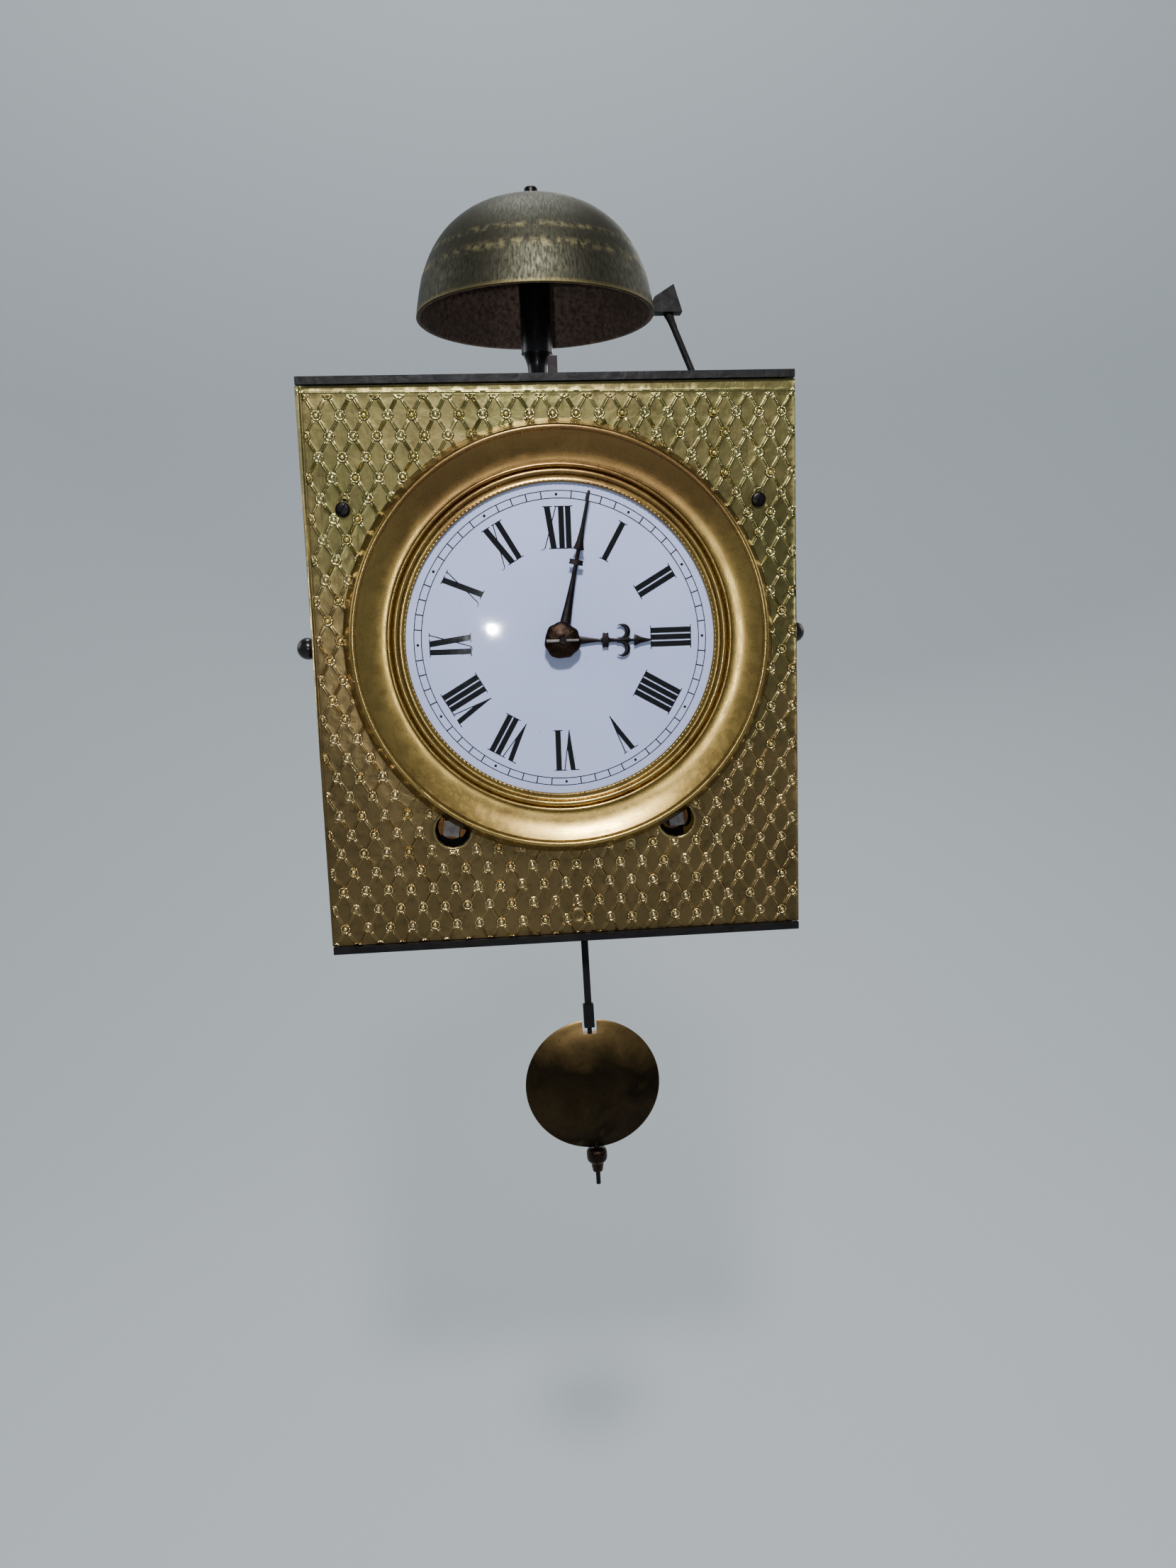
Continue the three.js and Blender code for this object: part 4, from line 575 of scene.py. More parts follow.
def bezel():
    points, faces = turned(forward(eased(BEZEL_FRONT, 3) + BEZEL_BACK), 240, ring=True)
    radius, turn = polar(points)
    height = -points[:, 2]
    lift = 0.13 * waves(turn * 5, radius / 6) + 0.05 * waves(turn * 23, radius / 3, 2.0)
    dents = 0.0
    for where, at, wide, deep in BEZEL_DENTS:
        along = (np.mod(turn - where + pi, 2 * pi) - pi) * at
        dents = dents + deep * hump(np.hypot(along, radius - at), wide)
    points[:, 2] = -(height + (lift - dents) * rise(height - 0.3, 3))
    points = facing(points, DIAL_X, DIAL_Z)
    add_piece("bezel", points, faces, "case", "bezel_brass", nodes=["bezel_ring"], angle=50)


def bezel_rope():
    around, across = ROPE_BEADS * 6, 8
    points, faces = [], []
    for i in range(around):
        turn = 2 * pi * i / around
        for k in range(across):
            side = 2 * pi * k / across
            thick = ROPE_THICK * (0.78 + 0.26 * cos(ROPE_BEADS * turn + side))
            radius = ROPE_RADIUS + thick * cos(side)
            height = ROPE_HEIGHT + thick * sin(side)
            points.append((radius * cos(turn), radius * sin(turn), -height))
            n, m = (i + 1) % around, (k + 1) % across
            faces.append((i * across + k, n * across + k, n * across + m, i * across + m))
    points = facing(np.array(points), DIAL_X, DIAL_Z)
    add_piece("bezel_rope", points, faces, "case", "bezel_brass", angle=80)


# Enamel dial
DIAL_RADIUS = 65
DIAL_CROWN = 2.6
DIAL_EDGE = 1.2
DIAL_BACK = 0.25
DIAL_HOLE = 5


def dome(radius):
    """Height of the enamel's front over the sheet at a radius."""
    return DIAL_CROWN - (DIAL_CROWN - DIAL_EDGE) * (radius / DIAL_RADIUS) ** 2


def dial():
    front = [(r, dome(r)) for r in np.linspace(DIAL_HOLE + 1.2, DIAL_RADIUS - 0.8, 40)]
    hole = [(DIAL_HOLE, 0.9), (DIAL_HOLE, 2.1), (DIAL_HOLE + 0.25, 2.45), (DIAL_HOLE + 0.65, 2.56)]
    rim = [(DIAL_RADIUS - 0.3, 1.15), (DIAL_RADIUS, 0.9), (DIAL_RADIUS, 0.5), (DIAL_RADIUS - 0.3, DIAL_BACK)]
    profile = hole + front + rim + [(DIAL_HOLE + 3, DIAL_BACK), (DIAL_HOLE, 0.4)]
    points, faces = turned(forward(profile), 192, ring=True)
    points = facing(points, DIAL_X, DIAL_Z)
    add_piece("dial", points, faces, "case", "white_enamel", nodes=["enamel_dial"], angle=30)


# Figures and minute track, fired on the dome
FIGURE_LIFT = 0.035
FIGURE_SINK = 0.12
FIGURE_FOOT, FIGURE_HEAD = 37.0, 53.7
TALL = FIGURE_HEAD - FIGURE_FOOT
STROKE = 2.25
HAIR = 0.36
THIN_STROKE = HAIR * 1.15
TRACK_INNER, TRACK_OUTER = 57.0, 60.0
TRACK_LINE = 0.36
TICK = 0.46
TRACK_DOT = 0.58


class Marks:
    """Thin closed marks on the dome, gathered in one mesh. Places are dial x and z."""

    def __init__(self):
        self.points, self.faces = [], []

    def spot(self, x, z):
        """A place on the dome: a point just over it and one inside it."""
        high = dome(hypot(x, z))
        for y in (high + FIGURE_LIFT, high - FIGURE_SINK):
            self.points.append((DIAL_X + x, -y, DIAL_Z + z))

    def band(self, pairs, closed=False):
        """A closed slab between two edges given as pairs of places."""
        start, count = len(self.points), len(pairs)
        for first, second in pairs:
            self.spot(*first)
            self.spot(*second)
        for i in range(count if closed else count - 1):
            a, b = start + 4 * i, start + 4 * ((i + 1) % count)
            self.faces += [(a, b, b + 2, a + 2), (a + 1, a + 3, b + 3, b + 1)]
            self.faces += [(a, a + 1, b + 1, b), (a + 2, b + 2, b + 3, a + 3)]
        if not closed:
            end = start + 4 * (count - 1)
            self.faces += [(start, start + 2, start + 3, start + 1), (end, end + 1, end + 3, end + 2)]

    def disc(self, x, z, radius, sides=14):
        start = len(self.points)
        for spot in circle(x, z, radius, sides):
            self.spot(*spot)
        self.faces.append(tuple(start + 2 * k for k in range(sides)))
        self.faces.append(tuple(start + 2 * k + 1 for k in reversed(range(sides))))
        for k in range(sides):
            a, b = start + 2 * k, start + 2 * ((k + 1) % sides)
            self.faces.append((a, a + 1, b + 1, b))


def slant(foot, head, wide):
    """A straight stroke of a letter, from its foot to its head."""
    return [(0, foot - wide / 2, foot + wide / 2), (TALL, head - wide / 2, head + wide / 2)]


def serif(left, right, height):
    return [(height - HAIR / 2, left, right), (height + HAIR / 2, left, right)]


# Letters: width of the cell, and strokes as stations (height, left, right), from the foot and from the
# cell's middle
V_WAIST = 0.44 * TALL
LETTERS = {
    "I": (2.8, [slant(0, 0, STROKE), serif(-2.0, 2.0, 0), serif(-2.0, 2.0, TALL)]),
    "V": (5.8, [
        [(0, -0.5, -0.35), (V_WAIST, -1.42, 0.65), (TALL, -2.65, -0.55)],
        slant(-0.45, 1.95, THIN_STROKE),
        serif(-4.15, -0.55, TALL),
        serif(1.05, 2.75, TALL),
    ]),
    "X": (6.2, [
        slant(1.15, -1.15, STROKE + 0.15),
        slant(-2.5, 2.5, THIN_STROKE),
        serif(-3.0, 0.9, TALL),
        serif(-0.9, 3.0, 0),
        serif(1.7, 3.3, TALL),
        [(-0.5, -3.3, -2.9), (0.1, -2.9, -2.5)],
        [(-0.6, -4.2, -3.1), (-0.35, -4.0, -3.1)],
    ]),
}
FIGURES = ["I", "II", "III", "IIII", "V", "VI", "VII", "VIII", "IX", "X", "XI", "XII"]


def figure_strokes(text):
    """Strokes of a Roman figure, its letters side by side about the middle."""
    left = -sum(LETTERS[letter][0] for letter in text) / 2
    strokes = []
    for letter in text:
        width, shapes = LETTERS[letter]
        middle = left + width / 2
        strokes += [[(v, middle + u0, middle + u1) for v, u0, u1 in shape] for shape in shapes]
        left += width
    return strokes


def figure_bands(stations, out, side, parts=4):
    """A stroke's edges on the dial, cut in short lengths so that it follows the dome."""
    pairs = []
    for (v0, l0, r0), (v1, l1, r1) in zip(stations, stations[1:]):
        steps = parts if abs(v1 - v0) > 2 else 1
        for k in range(steps):
            t = k / steps
            pairs.append((v0 + (v1 - v0) * t, l0 + (l1 - l0) * t, r0 + (r1 - r0) * t))
    pairs.append(stations[-1])
    return [[tuple(side * u + out * (FIGURE_FOOT + v)) for u in edges] for v, *edges in pairs]


def directions(degrees):
    """Directions outward and clockwise at an angle from twelve."""
    turn = radians(90 - degrees)
    return np.array((cos(turn), sin(turn))), np.array((sin(turn), -cos(turn)))


def dial_marks():
    marks = Marks()
    for hour, text in enumerate(FIGURES, 1):
        out, side = directions(30 * hour)
        for stations in figure_strokes(text):
            marks.band(figure_bands(stations, out, side))
    half = TRACK_LINE / 2
    for radius in (TRACK_INNER, TRACK_OUTER):
        edges = zip(circle(0, 0, radius - half, 180), circle(0, 0, radius + half, 180))
        marks.band(list(edges), closed=True)
    for minute in range(60):
        out, side = directions(6 * minute)
        half = side * TICK / 2
        if minute % 5:
            marks.band([(tuple(out * r - half), tuple(out * r + half)) for r in (TRACK_INNER, TRACK_OUTER)])
        else:
            marks.disc(*(out * (TRACK_INNER + TRACK_OUTER) / 2), TRACK_DOT)
    points, faces = marks.points, marks.faces
    add_piece("dial_figures", points, faces, "case", "figure_enamel", angle=30)


# Embossed front sheet: studs on a slanting lattice, joined by double ridges
STUD_PITCH, STUD_ROW = 9.33, 8.0
STUD_ROWS, STUD_COLUMNS = range(-1, 28), range(-12, 13)
STUD_X, STUD_Z = 0.1, 101.2
STUD_SLANT = sin(radians(0.5))
STUD_REACH = 3.0
STUD_HEIGHTS = [
    (0, 1.2), (0.45, 1.12), (0.8, 0.82), (1.02, 0.34), (1.2, 0.2), (1.42, 0.45), (1.7, 0.74), (1.98, 0.56),
    (2.22, 0.0), (2.5, 0.0),
]
RIDGE_OFFSETS = [
    (-0.95, 0.0), (-0.66, 0.03), (-0.48, 0.28), (-0.3, 0.33), (0.0, 0.05), (0.3, 0.33), (0.48, 0.28),
    (0.66, 0.03), (0.95, 0.0),
]
RIDGE_START = 2.62
SHEET_GROUND = 0.14
# Bead under the plain top band, the folded left rim and the right edge
BAND_Z, BAND_FALL = 109.75, 0.0105
RIM_X, RIM_FALL = -99.05, 0.0088
EDGE_X = 98.9
# Small ring stamped near the bottom, and the crinkled place under the top band
RING_X, RING_Z, RING_RADIUS = 4, -105.6, 2.6
CRINKLE_X, CRINKLE_Z = -3, 97
# The skin's outline, the reach of the stamping in it, its opening and its flat back
SKIN_WIDE, SKIN_TALL = 99.9, 113.15
STAMP_WIDE, STAMP_TALL = 99.7, 112.9
SKIN_INNER = 86.2
SKIN_BACK = 0.12
UPRIGHT_RUN, LEVEL_RUN = (-112.7, 112.8), (-96.8, 98.8)
EDGE_STEP = 1.6
FILL_STEP = 2.2
# Winding holes with their radius, and screws with the bare place round each
WINDING = ((-47.2, -66.0, 7.5), (47.2, -66.0, 7.5))
SCREWS = ((-84.2, 65.6), (84.2, 65.6))
SCREW_BARE = 3.3


def from_dial(x, z):
    """Distance from the dial's middle."""
    return np.hypot(x - DIAL_X, z - DIAL_Z)


def clear(x, z, dial_room, hole_room):
    """Whether places lie further out than the dial's opening and the winding holes by some room."""
    room = from_dial(x, z) > SKIN_INNER + dial_room
    for wx, wz, radius in WINDING:
        room = room & (np.hypot(x - wx, z - wz) > radius + hole_room)
    return room


def stud_places():
    """Place, row and column of each stud that touches the sheet."""
    places = []
    for row in STUD_ROWS:
        for column in STUD_COLUMNS:
            a = STUD_X + (column + 0.5 * (row % 2)) * STUD_PITCH
            b = STUD_Z - row * STUD_ROW
            x, z = a + STUD_SLANT * b, b - STUD_SLANT * a
            on_sheet = abs(x) < SKIN_WIDE + STUD_REACH and abs(z) < SKIN_TALL + STUD_REACH
            if on_sheet and from_dial(x, z) > SKIN_INNER - STUD_REACH:
                places.append((x, z, row, column))
    return places


def stud_share(x, z):
    """How strongly the stamping shows: gone in the top band, the left rim and round screws and holes."""
    share = rise(BAND_Z - BAND_FALL * x - 0.9 - z, 0.5) * rise(x - RIM_X - RIM_FALL * z - 0.5, 0.8)
    for sx, sz in SCREWS:
        share = share * rise(np.hypot(x - sx, z - sz) - SCREW_BARE, 1.6)
    for wx, wz, radius in WINDING:
        share = share * rise(np.hypot(x - wx, z - wz) - radius - 0.9, 1.4)
    return share


def ground_height(x, z):
    """The sheet between its studs: slightly warped, with a bead under the top band and a folded left rim."""
    high = SHEET_GROUND + 0.09 * waves(x / 15, z / 15) + 0.035 * waves(x / 4.5, z / 4.5, 3.0)
    high = high + 0.34 * hump(z + BAND_FALL * x - BAND_Z, 0.32)
    crinkle = hump(x - CRINKLE_X, 17) * rise(z - CRINKLE_Z, 9)
    high = high + 0.2 * crinkle * waves(x / 1.3, z / 6, 5.0)
    rim = RIM_X + RIM_FALL * z
    high = high + 0.5 * rise(rim + 0.15 * waves(z / 9, 0) - x, 0.35) - 0.12 * hump(x - rim - 0.35, 0.35)
    high = high + 0.22 * rise(x - EDGE_X, 0.5)
    for sx, sz in SCREWS:
        high = high - 0.1 * np.exp(-((np.hypot(x - sx, z - sz) / 4.5) ** 4))
    for wx, wz, radius in WINDING:
        high = high + 0.5 * hump(np.hypot(x - wx, z - wz) - radius - 0.35, 0.4)
    return high + 0.3 * hump(np.hypot(x - RING_X, z - RING_Z) - RING_RADIUS, 0.45)


class Skin:
    """Places of the embossed skin, their stamped heights, and the lines that its faces keep to."""

    def __init__(self):
        self.spots, self.heights, self.lines = [], [], []
        self.stamped = 0

    def fence(self, path, closed=True):
        """Adds a row of places and the lines that join them."""
        start, count = len(self.spots), len(path)
        self.spots += path
        self.lines += [(start + k, start + (k + 1) % count) for k in range(count if closed else count - 1)]

    def stud(self, x, z, row, column):
        """A round stud in a collar of nine petals; a few are worn flat."""
        flat = sin(row * 3.7 + column * 9.1) > 0.965
        worn = 0.45 if flat else 0.82 + 0.22 * sin(row * 12.9898 + column * 78.233)
        for radius, high in STUD_HEIGHTS:
            count = 1 if radius == 0 else 14 if radius < 1.3 else 27
            for k in range(count):
                turn = 2 * pi * k / count + 0.3 * column
                petal = cos(9 * turn)
                reach = radius + (0.07 * petal if radius > 1.5 else 0.0)
                self.spots.append((x + reach * cos(turn), z + reach * sin(turn)))
                self.heights.append(high * (1 + (0.28 * petal if 1.3 < radius < 2.2 else 0.0)) * worn)

    def ridges(self, x, z, row, column):
        """The double ridges from a stud to the two below it."""
        for way in (-1, 1):
            a, b = way * STUD_PITCH / 2, -STUD_ROW
            dx, dz = a + STUD_SLANT * b, b - STUD_SLANT * a
            long = hypot(dx, dz)
            ux, uz = dx / long, dz / long
            press = 0.85 + 0.25 * sin(row * 5.1 + column * 3.3 + way)
            steps = np.linspace(RIDGE_START, long - RIDGE_START, 5)
            for offset, high in RIDGE_OFFSETS:
                path = [(x + ux * at - uz * offset, z + uz * at + ux * offset) for at in steps]
                self.fence(path, closed=False)
                self.heights += [high * press] * len(path)

    def trim(self):
        """Keeps the stamped places that are clear of the edge and the openings, faded where it is bare."""
        x, z = np.array(self.spots).T
        keep = (np.abs(x) < STAMP_WIDE) & (np.abs(z) < STAMP_TALL) & clear(x, z, 0.2, 1.2)
        index = np.cumsum(keep) - 1
        self.lines = [(int(index[a]), int(index[b])) for a, b in self.lines if keep[a] and keep[b]]
        x, z = x[keep], z[keep]
        self.heights = np.array(self.heights)[keep] * stud_share(x, z)
        self.spots = list(zip(x, z))
        self.stamped = len(self.spots)

    def edges(self):
        """Fences round the sheet and its openings, and along its rim, edge, bead and small ring."""
        rim = [(x, -SKIN_TALL) for x in np.arange(-SKIN_WIDE, SKIN_WIDE - 0.1, EDGE_STEP)]
        rim += [(SKIN_WIDE, z) for z in np.arange(-SKIN_TALL, SKIN_TALL - 0.1, EDGE_STEP)]
        self.fence(rim + [(-x, -z) for x, z in rim])
        self.fence(circle(DIAL_X, DIAL_Z, SKIN_INNER, 200))
        for x, z, radius in WINDING:
            for more in (0.0, 0.2, 0.4, 0.7, 1.1):
                self.fence(circle(x, z, radius + more, 56))
        for off in (-0.9, -0.45, -0.2, 0.05, 0.35, 0.75, 1.1):
            path = [(RIM_X + RIM_FALL * z + off, z) for z in np.arange(*UPRIGHT_RUN, 1.1)]
            self.fence([spot for spot in path if spot[0] > 0.15 - SKIN_WIDE], closed=False)
        for x in (EDGE_X, EDGE_X + 0.5):
            self.fence([(x, z) for z in np.arange(*UPRIGHT_RUN, EDGE_STEP)], closed=False)
        for off in (0.7, 0.32, 0.0, -0.32, -0.7):
            self.fence([(x, BAND_Z - BAND_FALL * x + off) for x in np.arange(*LEVEL_RUN, 1.2)], closed=False)
        for off in (-0.7, -0.3, 0, 0.3, 0.7):
            self.fence(circle(RING_X, RING_Z, RING_RADIUS + off, 30))

    def fill(self):
        """Places between the stamped ones, a little off a square grid."""
        taken = np.array(self.spots[: self.stamped])
        for x in np.arange(-97, 99, FILL_STEP):
            for z in np.arange(-112, 113, FILL_STEP):
                if from_dial(x, z) < SKIN_INNER + 1:
                    continue
                if np.min(np.abs(taken[:, 0] - x) + np.abs(taken[:, 1] - z)) > FILL_STEP / 2:
                    self.spots.append((x + 0.4 * sin(7 * z), z + 0.4 * sin(5 * x)))

    def front(self):
        """Points and triangles of the front."""
        made = delaunay_2d_cdt([Vector(spot) for spot in self.spots], self.lines, [], 0, 1e-4)
        x, z = np.array([tuple(v) for v in made[0]]).T
        relief = np.zeros(len(x))
        for k, sources in enumerate(made[3]):
            own = [s for s in sources if s < self.stamped]
            if own:
                relief[k] = self.heights[own[0]]
        faces = np.array([face for face in made[2] if len(face) == 3])
        mid_x, mid_z = x[faces].mean(axis=1), z[faces].mean(axis=1)
        good = (np.abs(mid_x) < SKIN_WIDE) & (np.abs(mid_z) < SKIN_TALL) & clear(mid_x, mid_z, -0.01, -0.005)
        return np.column_stack((x, -(ground_height(x, z) + relief), z)), faces[good]


def closed_skin(front, faces):
    """An open skin with walls and a flat back just inside the sheet."""
    used = np.unique(faces)
    index = np.full(len(front), -1)
    index[used] = np.arange(len(used))
    front, faces = front[used], index[faces]
    edges = np.sort(np.vstack((faces[:, [0, 1]], faces[:, [1, 2]], faces[:, [2, 0]])), axis=1)
    pairs, counts = np.unique(edges, axis=0, return_counts=True)
    border = pairs[counts == 1].tolist()
    loop = np.unique(border)
    back = front[loop].copy()
    back[:, 1] = SKIN_BACK
    start = len(front)
    rank = {v: k for k, v in enumerate(loop.tolist())}
    lines = [(rank[a], rank[b]) for a, b in border]
    walls = [(a, b, start + rank[b], start + rank[a]) for a, b in border]
    made = delaunay_2d_cdt([Vector((x, z)) for x, _, z in back], lines, [], 1, 1e-6)
    spots = np.array([tuple(v) for v in made[0]])
    lids = []
    for face in made[2]:
        if clear(*spots[list(face)].mean(axis=0), -0.02, -0.01):
            lids.append([start + made[3][v][0] for v in face])
    return np.vstack((front, back)), faces.tolist() + walls + lids


def sheet_skin():
    skin = Skin()
    for stud in stud_places():
        skin.stud(*stud)
        skin.ridges(*stud)
    skin.trim()
    skin.edges()
    skin.fill()
    points, faces = closed_skin(*skin.front())
    add_piece("front_skin", points, faces, "case", "embossed_brass", angle=60)


# Slotted screws that hold the sheet
SCREW_HEAD = [(0, 2.05), (1.6, 1.98), (2.5, 1.75), (2.9, 1.3), (3.0, 0.9), (3.0, 0.9), (2.9, 0.35)]
SCREW_SLOT = (-4, 4, -3, -1.1, -0.3, 0.3)


def dial_screws():
    for side, lean in (("left", 58), ("right", 68)):
        node = f"dial_screw_{side}"
        x, _, z = centre(node)
        points, faces = turned(forward(eased(SCREW_HEAD, 3)) + [(1.5, -0.3), (1.4, 3.0), (0, 3.2)], 40)
        points = facing(points, x, z)
        piece = add_piece(f"sheet_screw_{side}", points, faces, "case", "dark_steel", nodes=[node])
        cut_slot(piece, SCREW_SLOT, x, z, lean)


# Bell, as shares of its radius and height, and its stand, as heights over its foot and over the bell's crown
BELL_HEIGHT, BELL_RADIUS, BELL_WALL = 47.2, 51, 1.8
BELL_BORE = 3.0
BELL_SHARES = [
    (1, 0), (0.99, 0.08), (0.975, 0.17), (0.955, 0.27), (0.93, 0.36), (0.85, 0.55), (0.73, 0.72),
    (0.56, 0.86), (0.36, 0.95), (0.14, 1.0),
]
POST_FOOT = [
    (0, 0), (5.2, 0), (5.2, 0), (5.2, 1.6), (4.9, 2.4), (4.35, 3.6), (4.15, 6), (4.15, 10), (4.4, 12.5),
    (5.2, 15), (6.1, 17), (6.6, 19), (6.7, 21),
]
POST_HEAD = [(6.7, -8), (6.7, -1), (6.3, -0.3), (5.6, 0), (5.6, 0), (2.4, 0), (2.4, 0)]


def bell():
    outer = eased([(r * BELL_RADIUS, BELL_Z + h * BELL_HEIGHT) for r, h in BELL_SHARES], 5)
    outer[0] = (outer[0][0], outer[0][1] + 0.35)
    lip = [(BELL_RADIUS - BELL_WALL, BELL_Z + 0.3), (BELL_RADIUS - 1.2, BELL_Z), (BELL_RADIUS - 0.4, BELL_Z)]
    wide, tall = BELL_RADIUS - BELL_WALL, BELL_HEIGHT - BELL_WALL
    inner = [(max(BELL_BORE, r * wide), BELL_Z + h * tall) for r, h in reversed(BELL_SHARES)]
    inner = eased(inner, 4)[:-1]
    bore = [(BELL_BORE - 0.1, outer[-1][1]), (BELL_BORE - 0.1, inner[0][1])]
    points, faces = turned(lip + outer + bore + inner, 128, ring=True)
    radius, turn = polar(points)
    bend = 1 + 0.0018 * waves(turn * 6, points[:, 2] / 5) * rise(radius, 20)
    points[:, :2] *= np.minimum(bend, 1.0)[:, None]
    points = standing(points, BELL_X, BELL_Y)
    piece = add_piece("bell_cup", points, faces, "case", "bell_bronze", nodes=["bell"], angle=45)
    piece.data.materials.append(finishes["bell_inside"])
    middle = place(BELL_X, BELL_Y, BELL_Z - 20)
    for face in piece.data.polygons:
        if face.normal.dot(face.center - middle) < 0:
            face.material_index = 1


def bell_post():
    low, high = own_box("bell_stand")
    crown = BELL_Z + BELL_HEIGHT - BELL_WALL - 0.4
    profile = [(r, low.z + h) for r, h in POST_FOOT] + [(r, crown + h) for r, h in POST_HEAD]
    profile += [(2.4, high.z - 0.6), (2.0, high.z), (2.0, high.z), (0, high.z)]
    points, faces = turned(eased(profile, 4), 56)
    points[:, :2] *= 1 + 0.006 * waves(points[:, 2:3] / 6, points[:, 0:1] / 6)
    points = standing(points, BELL_X, BELL_Y)
    add_piece("bell_post", points, faces, "case", "black_lacquer", nodes=["bell_stand"])


# Domed nut on the bell
def bell_top():
    low, high = own_box("bell_nut")
    inner = own_box("bell_stand")[1].z + 0.15
    top = high.z + 3.4
    profile = [(0, inner), (2.15, inner), (2.15, low.z), (2.9, low.z), (2.9, top - 1.1), (2.7, top - 0.5)]
    points, faces = turned(profile + [(2.2, top - 0.1), (1.4, top), (0, top)], 40)
    points = standing(points, BELL_X, BELL_Y)
    add_piece("bell_cap", points, faces, "case", "dark_steel", nodes=["bell_nut"])


# Pendulum, built plumb about its pivot and tilted. The bob goes by radius and share of its thickness
PIVOT_X, PIVOT_Z = 2.5, 86.8627
PENDULUM_Y = 14.5
PENDULUM_TILT = radians(1.3)
TILTED = Matrix.Translation((PIVOT_X, 0, PIVOT_Z)) @ Matrix.Rotation(-PENDULUM_TILT, 4, "Y")
BOB_Z = -188.0 - PIVOT_Z
BOB_RADIUS, BOB_THICK, BOB_EDGE = 30.25, 9.0, 0.7
BOB_SHARES = ((0, 1), (8, 0.965), (16, 0.8), (22, 0.54), (27, 0.2), (29.4, 0.05), (30.0, 0.0))
RATING_NUT = [
    (1.3, 0), (2.4, 0), (3.6, -0.4), (4.4, -1.2), (4.65, -2.4), (4.65, -4.4), (4.4, -5.6), (3.7, -6.5),
    (3.0, -7.0), (3.0, -7.0), (2.85, -7.6), (2.6, -9.4), (2.3, -10.9), (2.1, -11.2), (1.3, -11.2),
]


def bob():
    half = [(r, BOB_EDGE / 2 + (BOB_THICK - BOB_EDGE) / 2 * h) for r, h in BOB_SHARES]
    front = eased([(r, PENDULUM_Y - h) for r, h in half], 5)
    rear = eased([(r, PENDULUM_Y + h) for r, h in half], 5)
    profile = front + [(BOB_RADIUS, PENDULUM_Y - 0.15), (BOB_RADIUS, PENDULUM_Y + 0.15)] + rear[::-1]
    points, faces = turned(profile, 128)
    points = facing(points, 0, BOB_Z)
    piece = add_piece("bob_lens", points, faces, "bob", "bob_brass", nodes=["pendulum_bob"], matrix=TILTED)
    top = BOB_Z + BOB_RADIUS
    notch, notch_faces = box_mesh(-3.2, 3.2, PENDULUM_Y - 12, PENDULUM_Y + 12, top - 6, top + 3)
    cut(piece, [tuple(TILTED @ Vector(p)) for p in notch], notch_faces)


def rating_nut():
    top = BOB_Z - BOB_RADIUS - 0.2
    points, faces = turned([(r, top + h) for r, h in eased(RATING_NUT, 3)], 48, ring=True)
    radius, turn = polar(points)
    grip = 1 - 0.012 * (1 + np.cos(24 * turn)) * (radius > 4.3)
    points[:, :2] *= grip[:, None]
    points = standing(points, 0, PENDULUM_Y)
    add_piece("bob_nut", points, faces, "rating_nut", "aged_bronze", nodes=["rating_nut"], matrix=TILTED)


# Door knobs: a foot on the door, a waist and a ball
KNOB_FOOT = [(0, 97.0), (3.0, 97.0), (3.0, 97.6), (2.4, 98.2), (1.8, 99.0), (1.8, 100.6)]
KNOB_BALL = 4.75
KNOB_WAIST = 2.2


def knobs():
    for side, way in (("left", -1), ("right", 1)):
        node = f"door_knob_{side}"
        low, high = own_box(node)
        _, y, z = centre(node)
        tip = high.x if way > 0 else -low.x
        ball = tip - KNOB_BALL
        profile = KNOB_FOOT + [(KNOB_WAIST, ball - 4.3)]
        for turn in (pi * k / 13 for k in range(1, 13)):
            if KNOB_BALL * sin(turn) > KNOB_WAIST:
                profile.append((KNOB_BALL * sin(turn), ball - KNOB_BALL * cos(turn)))
        profile += [(1.2, tip - 0.15), (0, tip)]
        points, faces = turned(eased(profile, 2), 40)
        points = np.column_stack((way * points[:, 2], points[:, 0] + y, points[:, 1] + z))
        add_piece(f"knob_{side}", points, faces, BODIES[node], "black_lacquer", nodes=[node])


# Hands: forged outline with a domed front, given as half widths along the hand
HAND_EDGE, HAND_CROWN = 0.5, 0.42
MINUTE_WIDTHS = [
    (4.2, 2.2), (8, 2.1), (14, 1.6), (20, 1.2), (26, 0.9), (30.7, 0.8), (30.8, 2.7), (31.1, 2.9), (31.8, 2.6),
    (32.5, 2.9), (32.8, 2.7), (32.9, 0.8), (36.7, 0.75), (37.0, 2.35), (37.4, 2.2), (38.5, 1.75), (40.5, 1.3),
    (43.5, 0.98), (47, 0.76), (54, 0.63), (60.3, 0.56), (60.5, 0.4),
]
HOUR_WIDTHS = [
    (4.2, 2.2), (7.6, 1.7), (11, 1.15), (14.5, 0.72), (16.2, 0.72), (16.7, 1.3), (16.8, 2.7), (17.1, 3.15),
    (18.0, 2.75), (18.9, 3.15), (19.2, 2.7), (19.3, 1.3), (19.8, 0.8), (22, 0.7), (24, 0.85), (27.6, 1.2),
    (28.3, 0.55), (29.7, 0.5), (29.8, 1.9), (30.1, 2.4), (31, 1.95), (32.6, 1.25), (34.5, 0.8), (37, 0.35),
]
# Section across a strip of a hand: shares of its width, of the edge's height and of the crown's rise
HAND_SECTION = ((0, 0, 0), (0, 1, 0), (0.25, 1, 0.75), (0.5, 1, 1), (0.75, 1, 0.75), (1, 1, 0), (1, 0, 0))
MOON_ALONG, MOON_ACROSS, MOON_RADIUS, MOON_HOLLOW, MOON_SHIFT = 25, 3.5, 3.2, 2.4, 1.3


